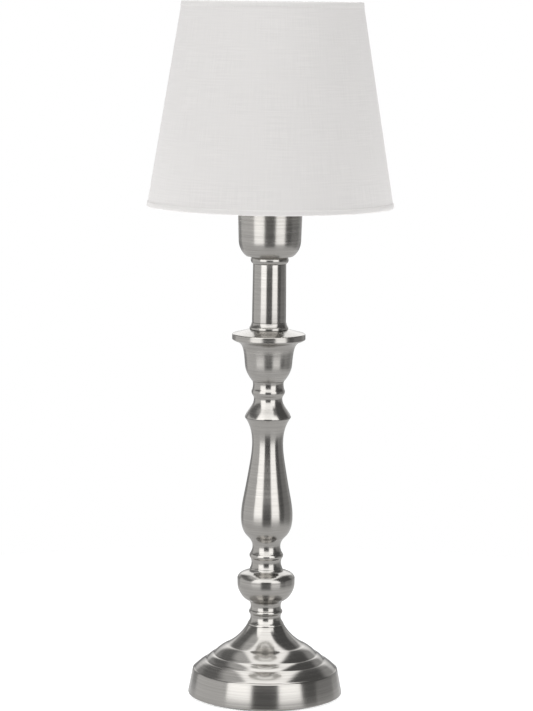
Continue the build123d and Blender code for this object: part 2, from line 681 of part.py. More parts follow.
upper_collar_edge_z = upper_collar_z + UPPER_COLLAR_HEIGHT / 2
pieces["upper_collar"] = turned(
    [
        Polyline(
            (upper_spigot_radius, upper_collar_z - COLLAR_SPIGOT_HEIGHT),
            (upper_spigot_radius, upper_collar_z),
            (TUBE_TOP_RADIUS + COLLAR_STEP, upper_collar_z),
        ),
        ThreePointArc(
            (TUBE_TOP_RADIUS + COLLAR_STEP, upper_collar_z),
            (UPPER_COLLAR_RADIUS, upper_collar_edge_z),
            (TUBE_TOP_RADIUS + 2 * COLLAR_STEP, cup_z),
        ),
    ],
    sleeve_bore,
)

# ---- Lampholder cup -------------------------------------------------------------------------
cup_shoulder_z = cup_z + CUP_SHOULDER_HEIGHT
cup_rim_z = cup_shoulder_z + CUP_WALL_HEIGHT
cup_swell = CUP_SHOULDER_RADIUS - CUP_FOOT_RADIUS


def cup_outline(inset):
    """The cup's outline from the edge of its floor to its rim, or its inner side."""
    return [
        Spline(
            (CUP_FOOT_RADIUS - inset, cup_z + inset),
            (CUP_FOOT_RADIUS + 0.8 * cup_swell - inset, cup_z + 0.5 * CUP_SHOULDER_HEIGHT),
            (CUP_SHOULDER_RADIUS - inset, cup_shoulder_z),
            tangents=[(1, 0.75), (0.02, 1)],
        ),
        Line((CUP_SHOULDER_RADIUS - inset, cup_shoulder_z), (CUP_RIM_RADIUS - inset, cup_rim_z)),
    ]


cup_outside = cup_outline(0)
cup_inside = cup_outline(CUP_WALL)
with BuildPart() as lampholder_cup:
    with BuildSketch(Plane.XZ):
        with BuildLine():
            add(cup_outside)
            add(cup_inside)
            Line(cup_outside[-1] @ 1, cup_inside[-1] @ 1)
            Polyline(
                cup_outside[0] @ 0,
                (sleeve_bore, cup_z),
                (sleeve_bore, cup_z + CUP_WALL),
                cup_inside[0] @ 0,
            )
        make_face()
    revolve(axis=Axis.Z)
pieces["lampholder_cup"] = lampholder_cup

# ---- Lampholder -------------------------------------------------------------------------------
holder_inner_radius = HOLDER_RADIUS - HOLDER_WALL
dome_z = holder_z + HOLDER_ENTRY_HEIGHT
with BuildPart() as lampholder_cap:
    with BuildSketch(Plane.XZ):
        with BuildLine():
            Polyline(
                (HOLDER_ENTRY_RADIUS, dome_z),
                (HOLDER_ENTRY_RADIUS, holder_z),
                (sleeve_bore, holder_z),
                (sleeve_bore, dome_z + HOLDER_WALL),
                (HOLDER_ENTRY_RADIUS, dome_z + HOLDER_WALL),
            )
            bulged(
                (HOLDER_ENTRY_RADIUS, dome_z + HOLDER_WALL),
                (holder_inner_radius, holder_skirt_z),
                HOLDER_WALL,
            )
            Line((holder_inner_radius, holder_skirt_z), (HOLDER_RADIUS, holder_skirt_z))
            bulged((HOLDER_RADIUS, holder_skirt_z), (HOLDER_ENTRY_RADIUS, dome_z), -HOLDER_WALL)
        make_face()
    revolve(axis=Axis.Z)
pieces["lampholder_cap"] = lampholder_cap

thread_crest_radius = HOLDER_RADIUS + HOLDER_THREAD_DEPTH
thread_top_z = holder_rim_z - HOLDER_THREAD_PITCH / 2
thread_ridges = int((thread_top_z - flange_top_z) / HOLDER_THREAD_PITCH)
with BuildPart() as lampholder_skirt:
    with BuildSketch(Plane.XY.offset(holder_skirt_z)):
        Circle(HOLDER_RADIUS)
        Circle(holder_inner_radius, mode=Mode.SUBTRACT)
    extrude(amount=HOLDER_SKIRT_HEIGHT)
    with BuildSketch(Plane.XY.offset(flange_top_z - HOLDER_FLANGE_THICKNESS)):
        Circle(HOLDER_FLANGE_RADIUS)
        Circle(holder_inner_radius, mode=Mode.SUBTRACT)
    extrude(amount=HOLDER_FLANGE_THICKNESS)
    for ridge in range(thread_ridges):
        ridge_z = flange_top_z + (ridge + 0.5) * HOLDER_THREAD_PITCH
        with BuildSketch(Plane.XZ):
            with BuildLine():
                Polyline(
                    (HOLDER_RADIUS - HOLDER_WALL / 2, ridge_z - HOLDER_THREAD_PITCH / 4),
                    (HOLDER_RADIUS, ridge_z - HOLDER_THREAD_PITCH / 4),
                    (thread_crest_radius, ridge_z),
                    (HOLDER_RADIUS, ridge_z + HOLDER_THREAD_PITCH / 4),
                    (HOLDER_RADIUS - HOLDER_WALL / 2, ridge_z + HOLDER_THREAD_PITCH / 4),
                    close=True,
                )
            make_face()
        revolve(axis=Axis.Z)
pieces["lampholder_skirt"] = lampholder_skirt

with BuildPart() as contact_block:
    with BuildSketch(Plane.XY.offset(holder_skirt_z)):
        Circle(block_radius)
    extrude(amount=BLOCK_HEIGHT)
    with BuildSketch(Plane.XY.offset(holder_skirt_z)):
        with PolarLocations(TERMINAL_OFFSET, 2, start_angle=90):
            Circle(TERMINAL_RADIUS)
    extrude(amount=BLOCK_HEIGHT, mode=Mode.SUBTRACT)
pieces["contact_block"] = contact_block

with BuildPart() as terminal_screws:
    with BuildSketch(Plane.XY.offset(holder_skirt_z)):
        with PolarLocations(TERMINAL_OFFSET, 2, start_angle=90):
            Circle(TERMINAL_RADIUS)
    extrude(amount=BLOCK_HEIGHT)
    with BuildSketch(Plane.XY.offset(holder_skirt_z)):
        with PolarLocations(TERMINAL_OFFSET, 2, start_angle=90):
            Circle(TERMINAL_HEAD_RADIUS)
    extrude(amount=-TERMINAL_HEAD_HEIGHT)
pieces["terminal_screws"] = terminal_screws

pieces["screw_shell"] = disc(shell_radius, shell_bore, block_top_z, SHELL_HEIGHT)

contact_foot_x = CENTRE_CONTACT_REACH - CONTACT_STRIP_THICKNESS
with BuildPart() as centre_contact:
    with BuildSketch(Plane.XZ):
        with BuildLine():
            Polyline(
                (contact_foot_x, block_top_z),
                (contact_foot_x - CONTACT_STRIP_WIDTH, block_top_z),
                (contact_foot_x - CONTACT_STRIP_WIDTH, block_top_z + CONTACT_STRIP_THICKNESS),
                (contact_foot_x - CONTACT_STRIP_THICKNESS, block_top_z + CONTACT_STRIP_THICKNESS),
                (0, centre_contact_top_z - CONTACT_STRIP_THICKNESS),
                (-BULB_TIP_RADIUS, centre_contact_top_z - CONTACT_STRIP_THICKNESS),
                (-BULB_TIP_RADIUS, centre_contact_top_z),
                (0, centre_contact_top_z),
                (contact_foot_x, block_top_z + CONTACT_STRIP_THICKNESS),
                close=True,
            )
        make_face()
    extrude(amount=CONTACT_STRIP_WIDTH / 2, both=True)
pieces["centre_contact"] = centre_contact

with BuildPart() as side_contact:
    with BuildSketch(Plane.XY.offset(block_top_z)):
        with Locations((-shell_radius - CONTACT_STRIP_THICKNESS, 0)):
            Rectangle(2 * CONTACT_STRIP_THICKNESS, CONTACT_STRIP_WIDTH)
    extrude(amount=SIDE_CONTACT_HEIGHT)
    add(pieces["screw_shell"].part, mode=Mode.SUBTRACT)
pieces["side_contact"] = side_contact

ring_bore = thread_crest_radius + THREAD_CLEARANCE
with BuildPart() as shade_ring:
    with BuildSketch(Plane.XY.offset(ring_z)):
        Circle(RING_RADIUS)
        Circle(ring_bore, mode=Mode.SUBTRACT)
    extrude(amount=RING_FLANGE_THICKNESS)
    with BuildSketch(Plane.XY.offset(ring_z)):
        Circle(RING_COLLAR_RADIUS)
        Circle(ring_bore, mode=Mode.SUBTRACT)
    extrude(amount=RING_HEIGHT)
    with BuildSketch(Plane.XY.offset(ring_z + RING_FLANGE_THICKNESS)):
        with PolarLocations(RING_COLLAR_RADIUS, RING_GRIPS):
            Circle(RING_GRIP_RADIUS)
        Circle(ring_bore, mode=Mode.SUBTRACT)
    extrude(amount=RING_HEIGHT - RING_FLANGE_THICKNESS)
pieces["shade_ring"] = shade_ring

# ---- Bulb -------------------------------------------------------------------------------------
thread_middle_radius = (BULB_CREST_RADIUS + BULB_ROOT_RADIUS) / 2
thread_wave = (BULB_CREST_RADIUS - BULB_ROOT_RADIUS) / 2

with BuildPart() as bulb_contact:
    with BuildSketch(Plane.XZ):
        with BuildLine():
            bulged((0, bulb_tip_z), (BULB_TIP_RADIUS, bulb_insulator_z), BULB_TIP_HEIGHT / 4)
            Polyline((BULB_TIP_RADIUS, bulb_insulator_z), (0, bulb_insulator_z), (0, bulb_tip_z))
        make_face()
    revolve(axis=Axis.Z)
pieces["bulb_contact"] = bulb_contact

with BuildPart() as bulb_insulator:
    with BuildSketch(Plane.XZ):
        with BuildLine():
            Polyline(
                (0, bulb_insulator_z),
                (BULB_TIP_RADIUS, bulb_insulator_z),
                (thread_middle_radius, bulb_cap_z),
                (0, bulb_cap_z),
                close=True,
            )
        make_face()
    revolve(axis=Axis.Z)
pieces["bulb_insulator"] = bulb_insulator


def cap_thread(inset):
    """The cap's rolled thread as a run of arcs, crest and root by turns, or its inner side."""
    arcs = []
    for half_turn in range(2 * BULB_THREAD_TURNS):
        low_z = bulb_cap_z + half_turn * BULB_PITCH / 2
        swing = thread_wave if half_turn % 2 else -thread_wave
        arcs.append(
            ThreePointArc(
                (thread_middle_radius - inset, low_z),
                (thread_middle_radius + swing - inset, low_z + BULB_PITCH / 4),
                (thread_middle_radius - inset, low_z + BULB_PITCH / 2),
            )
        )
    return arcs


outer_thread = cap_thread(0)
inner_thread = cap_thread(BULB_CAP_WALL)
with BuildPart() as bulb_cap:
    with BuildSketch(Plane.XZ):
        with BuildLine():
            add(outer_thread)
            add(inner_thread)
            Line(outer_thread[0] @ 0, inner_thread[0] @ 0)
            Polyline(
                outer_thread[-1] @ 1,
                (GLASS_NECK_RADIUS + BULB_CAP_WALL, glass_z - BULB_CAP_COLLAR_HEIGHT / 2),
                (GLASS_NECK_RADIUS + BULB_CAP_WALL, glass_z),
                (GLASS_NECK_RADIUS, glass_z),
                (GLASS_NECK_RADIUS, glass_z - BULB_CAP_COLLAR_HEIGHT / 2),
                inner_thread[-1] @ 1,
            )
        make_face()
    revolve(axis=Axis.Z)
pieces["bulb_cap"] = bulb_cap

cheek_z = glass_z + GLASS_NECK_HEIGHT + GLASS_CHEEK_HEIGHT
glass_seat_z = glass_z - BULB_CAP_COLLAR_HEIGHT / 2


def glass_outline(inset):
    """The pear glass from its neck to its crown, or its inner side."""
    radius = GLASS_RADIUS - inset
    neck_radius = GLASS_NECK_RADIUS - inset
    neck_top_z = glass_z + GLASS_NECK_HEIGHT
    half = radians(45)
    return [
        Line((neck_radius, glass_seat_z), (neck_radius, neck_top_z)),
        Spline(
            (neck_radius, neck_top_z),
            (radius, cheek_z),
            tangents=[(0, 1), (0, 1)],
        ),
        ThreePointArc(
            (radius, cheek_z),
            (radius * cos(half), cheek_z + radius * sin(half)),
            (0, cheek_z + radius),
        ),
    ]


glass_outside = glass_outline(0)
glass_inside = glass_outline(GLASS_WALL)
with BuildPart() as bulb_glass:
    with BuildSketch(Plane.XZ):
        with BuildLine():
            add(glass_outside)
            add(glass_inside)
            Line(glass_outside[0] @ 0, glass_inside[0] @ 0)
            Line(glass_outside[-1] @ 1, glass_inside[-1] @ 1)
        make_face()
    revolve(axis=Axis.Z)
pieces["bulb_glass"] = bulb_glass

stem_base_radius = GLASS_NECK_RADIUS - GLASS_WALL
with BuildPart() as bulb_stem:
    with BuildSketch(Plane.XZ):
        with BuildLine():
            Polyline(
                (0, glass_seat_z),
                (stem_base_radius, glass_seat_z),
                (stem_base_radius, glass_seat_z + GLASS_WALL),
                (STEM_RADIUS, glass_seat_z + STEM_SEAT_HEIGHT),
                (STEM_RADIUS / 2, glass_seat_z + STEM_HEIGHT),
                (0, glass_seat_z + STEM_HEIGHT),
                close=True,
            )
        make_face()
    revolve(axis=Axis.Z)
pieces["bulb_stem"] = bulb_stem

filament_foot_z = glass_seat_z + STEM_HEIGHT - STEM_SEAT_HEIGHT / 2
filament_z = glass_seat_z + STEM_HEIGHT + FILAMENT_RISE
with BuildPart() as bulb_filament:
    with BuildLine():
        Polyline(
            (STEM_RADIUS / 2, 0, filament_foot_z),
            (FILAMENT_SPAN, 0, filament_z),
            (0, 0, filament_z + FILAMENT_RADIUS * 6),
            (-FILAMENT_SPAN, 0, filament_z),
            (-STEM_RADIUS / 2, 0, filament_foot_z),
        )
    with BuildSketch(Plane((STEM_RADIUS / 2, 0, filament_foot_z), z_dir=(1, 0, 1))):
        Circle(FILAMENT_RADIUS)
    sweep(transition=Transition.RIGHT)
    add(bulb_stem.part, mode=Mode.SUBTRACT)
pieces["bulb_filament"] = bulb_filament

# ---- Shade --------------------------------------------------------------------------------------
shade_slope = (SHADE_BOTTOM_RADIUS - SHADE_TOP_RADIUS) / SHADE_HEIGHT


def shade_radius(z):
    """The radius of the shade's outer face at a height."""
    return SHADE_BOTTOM_RADIUS - (z - shade_z) * shade_slope


def tapered_band(low_z, high_z, outer_offset, inner_offset):
    """A band that follows the shade's taper, between two offsets from its outer face."""
    with BuildPart() as band:
        with BuildSketch(Plane.XZ):
            with BuildLine():
                Polyline(
                    (shade_radius(low_z) + outer_offset, low_z),
                    (shade_radius(high_z) + outer_offset, high_z),
                    (shade_radius(high_z) + inner_offset, high_z),
                    (shade_radius(low_z) + inner_offset, low_z),
                    close=True,
                )
            make_face()
        revolve(axis=Axis.Z)
    return band


wire_inset = FABRIC_THICKNESS + LINER_THICKNESS + WIRE_RADIUS
bottom_wire_z = shade_z + WIRE_RADIUS
top_wire_z = shade_top_z - WIRE_RADIUS
bottom_wire_radius = shade_radius(bottom_wire_z + WIRE_RADIUS) - wire_inset - CONTACT_GAP
top_wire_radius = shade_radius(shade_top_z) - wire_inset - CONTACT_GAP

pieces["shade_fabric"] = tapered_band(shade_z, shade_top_z, 0, -FABRIC_THICKNESS)
pieces["shade_liner"] = tapered_band(
    shade_z, shade_top_z, -FABRIC_THICKNESS, -FABRIC_THICKNESS - LINER_THICKNESS
)
pieces["bottom_hem"] = tapered_band(shade_z, shade_z + HEM_HEIGHT, HEM_PROUD, 0)
pieces["top_hem"] = tapered_band(shade_top_z - HEM_HEIGHT, shade_top_z, HEM_PROUD, 0)


def wire_ring(radius, z):
    """A ring of round wire."""
    with BuildPart() as wire:
        with BuildSketch(Plane.XZ):
            with Locations((radius, z)):
                Circle(WIRE_RADIUS)
        revolve(axis=Axis.Z)
    return wire


pieces["bottom_wire"] = wire_ring(bottom_wire_radius, bottom_wire_z)
pieces["top_wire"] = wire_ring(top_wire_radius, top_wire_z)

fitter_bore = thread_crest_radius + FITTER_CLEARANCE
pieces["fitter_ring"] = disc(FITTER_RADIUS, fitter_bore, fitter_z, FITTER_THICKNESS)

arm_z = fitter_z + FITTER_THICKNESS / 2
arm_points = [
    Vector(RING_RADIUS + 2 * SEAT_CLEARANCE, 0, arm_z),
    Vector(FITTER_RADIUS + ARM_LEVEL_LENGTH, 0, arm_z),
    Vector(bottom_wire_radius, 0, bottom_wire_z),
]
for arm in range(ARM_COUNT):
    turn = 90 + arm * 360 / ARM_COUNT
    route = [point.rotate(Axis.Z, turn) for point in arm_points]
    with BuildPart() as fitter_arm:
        with BuildLine():
            FilletPolyline(*route, radius=ARM_BEND_RADIUS)
        with BuildSketch(Plane(route[0], z_dir=Vector(1, 0, 0).rotate(Axis.Z, turn))):
            Circle(ARM_RADIUS)
        sweep()
        add(pieces["fitter_ring"].part, mode=Mode.SUBTRACT)
        add(pieces["bottom_wire"].part, mode=Mode.SUBTRACT)
    pieces[f"fitter_arm_{arm + 1}"] = fitter_arm

for label, piece in pieces.items():
    piece.part.label = label
    export_step(piece.part, f"parts/{label}.step")
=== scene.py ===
"""The looks of the candlestick lamp: its turned metal, its linen shade, its bulb and the studio."""

import json
import logging
import math
from collections.abc import Iterator
from dataclasses import dataclass
from enum import Enum

import bmesh
import bpy
from mathutils import Matrix, Vector


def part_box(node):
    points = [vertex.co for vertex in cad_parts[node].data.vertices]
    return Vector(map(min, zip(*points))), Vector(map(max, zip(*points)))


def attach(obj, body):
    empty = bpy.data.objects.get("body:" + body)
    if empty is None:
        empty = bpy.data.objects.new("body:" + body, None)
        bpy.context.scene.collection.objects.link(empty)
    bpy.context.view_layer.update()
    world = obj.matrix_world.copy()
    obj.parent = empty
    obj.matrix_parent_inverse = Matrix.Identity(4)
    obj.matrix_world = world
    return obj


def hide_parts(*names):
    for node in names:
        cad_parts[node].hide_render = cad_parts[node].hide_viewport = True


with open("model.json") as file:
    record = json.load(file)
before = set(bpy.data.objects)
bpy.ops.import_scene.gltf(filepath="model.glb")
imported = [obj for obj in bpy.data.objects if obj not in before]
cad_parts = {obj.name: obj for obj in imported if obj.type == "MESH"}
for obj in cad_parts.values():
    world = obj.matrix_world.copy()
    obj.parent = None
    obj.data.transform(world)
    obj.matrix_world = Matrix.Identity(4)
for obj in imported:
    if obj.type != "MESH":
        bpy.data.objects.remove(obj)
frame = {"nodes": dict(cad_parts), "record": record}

log = logging.getLogger("lamp")
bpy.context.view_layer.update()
Colour = tuple[float, float, float]
MM = 0.001
TURN = 2 * math.pi
BACK = math.pi / 2              # the direction away from the camera
POLE = 1e-6                     # metres: nearer to the axis than this, a ring closes to a point
CORNER = math.radians(26)       # a sharper turn of an outline is an edge and not part of a curve
BEND = math.radians(0.5)        # a slighter turn of an outline isn't part of a curve either
STRAIGHT = math.radians(0.15)   # a slighter turn is none, and its point is dropped
LONGEST_CHORD = 12 * MM         # a longer side of an outline is a straight one


class Body(Enum):
    """The moving bodies of the lamp."""

    BASE = "base"
    SHADE = "shade"
    RING = "shade_ring"
    TIP = "bulb_tip"
    BULB = "bulb"


# ---- Node trees ------------------------------------------------------------------------------
class Value:
    """A number that flows through a node tree; Python's operators add its Math nodes."""

    def __init__(self, graph: "Graph", socket: bpy.types.NodeSocket) -> None:
        """Wraps a socket.

        Args:
            graph: the tree that the socket belongs to.
            socket: an output that carries a number.
        """
        self.graph = graph
        self.socket = socket

    def maths(self, operation: str, *others: "Value | float") -> "Value":
        """A Math node whose first input is this value."""
        return self.graph.maths(operation, self, *others)

    def __add__(self, other: "Value | float") -> "Value":
        """self + other."""
        return self.maths("ADD", other)

    def __sub__(self, other: "Value | float") -> "Value":
        """self - other."""
        return self.maths("SUBTRACT", other)

    def __mul__(self, other: "Value | float") -> "Value":
        """self * other."""
        return self.maths("MULTIPLY", other)

    def __truediv__(self, other: "Value | float") -> "Value":
        """self / other."""
        return self.maths("DIVIDE", other)

    def __pow__(self, other: "Value | float") -> "Value":
        """self ** other."""
        return self.maths("POWER", other)

    def __rsub__(self, other: float) -> "Value":
        """other - self."""
        return self.graph.maths("SUBTRACT", other, self)

    def __rtruediv__(self, other: float) -> "Value":
        """other / self."""
        return self.graph.maths("DIVIDE", other, self)

    def __neg__(self) -> "Value":
        """-self."""
        return self.maths("MULTIPLY", -1.0)

    __radd__ = __add__
    __rmul__ = __mul__

    def step(self, start: float, end: float) -> "Value":
        """A smooth step.

        Args:
            start: the value that gives 0.
            end: the value that gives 1.

        Returns:
            The eased and clamped value.
        """
        node = self.graph.node(
            "ShaderNodeMapRange",
            {"Value": self, "From Min": start, "From Max": end},
            interpolation_type="SMOOTHSTEP",
            clamp=True,
        )
        return Value(self.graph, node.outputs["Result"])


class Graph:
    """A shader or geometry node tree, and the one method that makes its nodes."""

    def __init__(self, tree: bpy.types.NodeTree) -> None:
        """Starts on an empty tree.

        Args:
            tree: the tree to fill; what it holds is cleared.
        """
        self.tree = tree
        tree.nodes.clear()

    def node(self, kind: str, sockets: dict | None = None, **settings: object) -> bpy.types.Node:
        """Makes a node, first its settings and then its sockets.

        Args:
            kind: the node's type.
            sockets: a plain value, Value or output socket for each input, by name or index.
            settings: attributes of the node, such as a Math node's operation.

        Returns:
            The new node.
        """
        node = self.tree.nodes.new(kind)
        for name, setting in settings.items():
            setattr(node, name, setting)
        for name, value in (sockets or {}).items():
            if isinstance(value, Value):
                value = value.socket
            if isinstance(value, bpy.types.NodeSocket):
                self.tree.links.new(value, node.inputs[name])
            else:
                node.inputs[name].default_value = value
        return node

    def maths(self, operation: str, *operands: Value | float) -> Value:
        """Adds a Math node.

        Args:
            operation: the node's operation.
            operands: its inputs in order.

        Returns:
            The node's result.
        """
        node = self.node("ShaderNodeMath", dict(enumerate(operands)), operation=operation)
        return Value(self, node.outputs[0])

    def vector(
        self, x: Value | float, y: Value | float, z: Value | float = 0.0
    ) -> bpy.types.NodeSocket:
        """Three numbers as a vector output."""
        return self.node("ShaderNodeCombineXYZ", {0: x, 1: y, 2: z}).outputs[0]

    def split(self, vector: bpy.types.NodeSocket) -> tuple[Value, Value, Value]:
        """The three numbers of a vector output."""
        outputs = self.node("ShaderNodeSeparateXYZ", {0: vector}).outputs
        return Value(self, outputs[0]), Value(self, outputs[1]), Value(self, outputs[2])

    def attribute(self, name: str, output: str) -> bpy.types.NodeSocket:
        """What the mesh holds under a name, as one of its node's outputs."""
        return self.node("ShaderNodeAttribute", attribute_name=name).outputs[output]

    def noise(
        self, vector: bpy.types.NodeSocket, scale: float = 1.0, detail: float = 2.0, w: Value | None = None
    ) -> Value:
        """Noise between about 0 and 1.

        Args:
            vector: where it is read.
            scale: its frequency, in cycles for each unit of the vector.
            detail: how many finer octaves it has.
            w: a fourth coordinate, if it has one.

        Returns:
            The noise.
        """
        sockets = {"Vector": vector, "Scale": scale, "Detail": detail}
        if w is not None:
            sockets["W"] = w
        node = self.node("ShaderNodeTexNoise", sockets, noise_dimensions="3D" if w is None else "4D")
        return Value(self, node.outputs[0])

    def tinted(
        self, low: Colour | bpy.types.NodeSocket, high: Colour, amount: Value
    ) -> bpy.types.NodeSocket:
        """A colour between two, as the amount goes from 0 to 1."""
        first = (*low, 1) if isinstance(low, tuple) else low
        return self.node("ShaderNodeMix", {0: amount, 6: first, 7: (*high, 1)}, data_type="RGBA").outputs[2]

    def principled(self, sockets: dict) -> bpy.types.NodeSocket:
        """A Principled shader with these sockets."""
        return self.node("ShaderNodeBsdfPrincipled", sockets).outputs[0]


def blank_material(name: str) -> tuple[bpy.types.Material, Graph]:
    """Makes a material without nodes.

    Args:
        name: its name.

    Returns:
        The material and its tree.
    """
    material = bpy.data.materials.new(name)
    material.use_nodes = True
    return material, Graph(material.node_tree)


# ---- Finishes --------------------------------------------------------------------------------
@dataclass(frozen=True)
class Finish:
    """The finish of a surface: the record's slot, the main colour and the gloss."""

    slot: str
    colour: Colour
    roughness: float = 0.5

    def material(self) -> bpy.types.Material:
        """Makes the material once, and then finds it again.

        Returns:
            The material. Finishes that share a slot differ in roughness, so its name gives both.
        """
        name = f"{self.slot}_{round(self.roughness * 100)}"
        material = bpy.data.materials.get(name)
        if material is None:
            material, graph = blank_material(name)
            graph.node("ShaderNodeOutputMaterial", {"Surface": self.paint(graph)})
        return material

    def shaded(self, share: float) -> Colour:
        """The main colour, made lighter or darker by a share."""
        red, green, blue = self.colour
        return red * share, green * share, blue * share

    def varied(self, graph: Graph, contrast: float, amount: Value) -> bpy.types.NodeSocket:
        """The main colour, from darker to lighter by a contrast as the amount goes from 0 to 1."""
        return graph.tinted(self.shaded(1 - contrast), self.shaded(1 + contrast), amount)

    def place(self, graph: Graph) -> bpy.types.NodeSocket:
        """The place on the piece, in metres."""
        return graph.node("ShaderNodeTexCoord").outputs["Object"]

    def bumped(self, graph: Graph, height: Value, depth: float) -> bpy.types.NodeSocket:
        """A normal bent by a height from 0 to 1, which stands for the depth in metres."""
        sockets = {"Strength": 1.0, "Distance": depth, "Height": height}
        return graph.node("ShaderNodeBump", sockets).outputs["Normal"]

    def paint(self, graph: Graph) -> bpy.types.NodeSocket:
        """Makes the material's nodes and returns the shader that goes to its output."""
        raise NotImplementedError


@dataclass(frozen=True)
class TurnedMetal(Finish):
    """Metal turned or brushed round the lamp's axis: fine rings, a soft sheen across them and
    some handling marks. The rings follow the height on a wall and the radius on a step."""

    ring_spacing: float = 1.3 * MM
    ring_depth: float = 0.004 * MM
    ring_contrast: float = 0.32
    ring_gloss: float = 0.4         # the share of the contrast that goes to the roughness
    ring_drift: float = 0.4         # how much a ring changes on its way round
    coarse_share: float = 0.6       # of the rings; the others are finer
    finer: float = 5.0              # how many times finer they are
    mark_rate: float = 38.0         # handling marks for each metre
    mark_gloss: float = 0.06
    sheen: float = 0.6              # how far highlights spread across the rings
    buffed: float = 0.1             # roughness where it is buffed
    buffed_from: float = 1.0        # metres: the metal is buffed from this height up, if it is that tall
    buff_fade: float = 3 * MM
    # painted shade: the colour is darkened to this share on the lines where two pieces meet
    joint_shade_tone: float = 0.06        # how dark the lines are where two pieces meet

    def paint(self, graph: Graph) -> bpy.types.NodeSocket:
        """Rings by radius and height, with slow handling marks over them.

        Args:
            graph: the material's tree.

        Returns:
            The shader.
        """
        place = self.place(graph)
        x, y, z = graph.split(place)
        radius = (x * x + y * y) ** 0.5
        side, front = x / (radius + POLE), y / (radius + POLE)
        rate = 1 / self.ring_spacing
        coarse = graph.noise(
            graph.vector(radius * rate, side * self.ring_drift, front * self.ring_drift), 1.0, 3.0, z * rate
        )
        rate *= self.finer
        fine = graph.noise(graph.vector(radius * rate, side, front), 1.0, 2.0, z * rate)
        rings = coarse * self.coarse_share + fine * (1 - self.coarse_share)
        marks = graph.noise(place, self.mark_rate, 3.0)
        # painted shade where two pieces meet: the mesh's weights darken the metal's colour there
        joint_shade = Value(graph, graph.attribute("joint_shade", "Fac"))
        colour = self.varied(graph, self.ring_contrast, rings)
        buff = z.step(self.buffed_from, self.buffed_from + self.buff_fade)
        roughness = self.roughness + (self.buffed - self.roughness) * buff
        unevenness = (rings - 0.5) * (self.ring_contrast * self.ring_gloss) + (marks - 0.5) * self.mark_gloss
        return graph.principled(
            {
                "Base Color": graph.tinted(colour, self.shaded(self.joint_shade_tone), joint_shade),
                "Metallic": 1.0,
                "Roughness": roughness + unevenness,
                "Anisotropic": self.sheen,
                "Anisotropic Rotation": 0.25,
                "Normal": self.bumped(graph, rings, self.ring_depth),
            }
        )


@dataclass(frozen=True)
class Moulded(Finish):
    """Moulded plastic, porcelain or enamel: a faint grain, slow unevenness and a clear skin."""

    grain: float = 0.25 * MM
    grain_depth: float = 0.004 * MM
    grain_gloss: float = 0.06
    mottle: float = 0.08
    mottle_rate: float = 60.0       # patches for each metre
    mottle_gloss: float = 0.12
    coat: float = 0.0
    through: float = 0.0            # light that comes through, as in opal glass
    scatter: float = 2 * MM         # how far that light spreads

    def paint(self, graph: Graph) -> bpy.types.NodeSocket:
        """Mottled colour, grained normal.

        Args:
            graph: the material's tree.

        Returns:
            The shader.
        """
        place = self.place(graph)
        mottle = graph.noise(place, self.mottle_rate, 3.0)
        grain = graph.noise(place, 1 / self.grain, 2.0)
        unevenness = (mottle - 0.5) * self.mottle_gloss + (grain - 0.5) * self.grain_gloss
        return graph.principled(
            {
                "Base Color": self.varied(graph, self.mottle, mottle),
                "Roughness": self.roughness + unevenness,
                "Coat Weight": self.coat,
                "Coat Roughness": 0.08,
                "Subsurface Weight": self.through,
                "Subsurface Radius": (self.scatter, self.scatter, self.scatter),
                "Normal": self.bumped(graph, grain, self.grain_depth),
            }
        )


@dataclass(frozen=True)
class RoughMetal(Finish):
    """Cast, plated or rolled metal that isn't polished: grains, spots and duller patches."""

    grain: float = 0.6 * MM
    grain_depth: float = 0.03 * MM
    spots: float = 0.25
    patch_rate: float = 45.0        # patches for each metre
    patch_share: float = 0.7        # of the spots; the others are the grain's

    def paint(self, graph: Graph) -> bpy.types.NodeSocket:
        """Grain in the normal, spots in colour and gloss.

        Args:
            graph: the material's tree.

        Returns:
            The shader.
        """
        place = self.place(graph)
        patches = graph.noise(place, self.patch_rate, 4.0)
        grain = graph.noise(place, 1 / self.grain, 3.0)
        spots = patches * self.patch_share + grain * (1 - self.patch_share)
        return graph.principled(
            {
                "Base Color": self.varied(graph, self.spots, spots),
                "Metallic": 1.0,
                "Roughness": self.roughness + (spots - 0.5) * self.spots,
                "Normal": self.bumped(graph, grain, self.grain_depth),
            }
        )


@dataclass(frozen=True)
class Felt(Finish):
    """Pressed felt: short fibres that lie every way."""

    fibre: float = 0.5 * MM
    fibre_length: float = 5.0       # as a multiple of its thickness
    depth: float = 0.2 * MM
    darkest: float = 0.55
    lightest: float = 1.35
    sheen: float = 0.3

    def paint(self, graph: Graph) -> bpy.types.NodeSocket:
        """Two crossed sets of drawn-out noise make the fibres.

        Args:
            graph: the material's tree.

        Returns:
            The shader.
        """
        x, y, z = graph.split(self.place(graph))
        rate = 1 / self.fibre
        slow = rate / self.fibre_length
        lengthways = graph.noise(graph.vector(x * rate, y * slow, z * rate), 1.0, 3.0)
        crossways = graph.noise(graph.vector(x * slow, y * rate, z * rate), 1.0, 3.0)
        fibres = graph.maths("MAXIMUM", lengthways, crossways)
        return graph.principled(
            {
                "Base Color": graph.tinted(self.shaded(self.darkest), self.shaded(self.lightest), fibres),
                "Roughness": self.roughness + fibres * (1 - self.roughness),
                "Sheen Weight": self.sheen,
                "Normal": self.bumped(graph, fibres, self.depth),
            }
        )


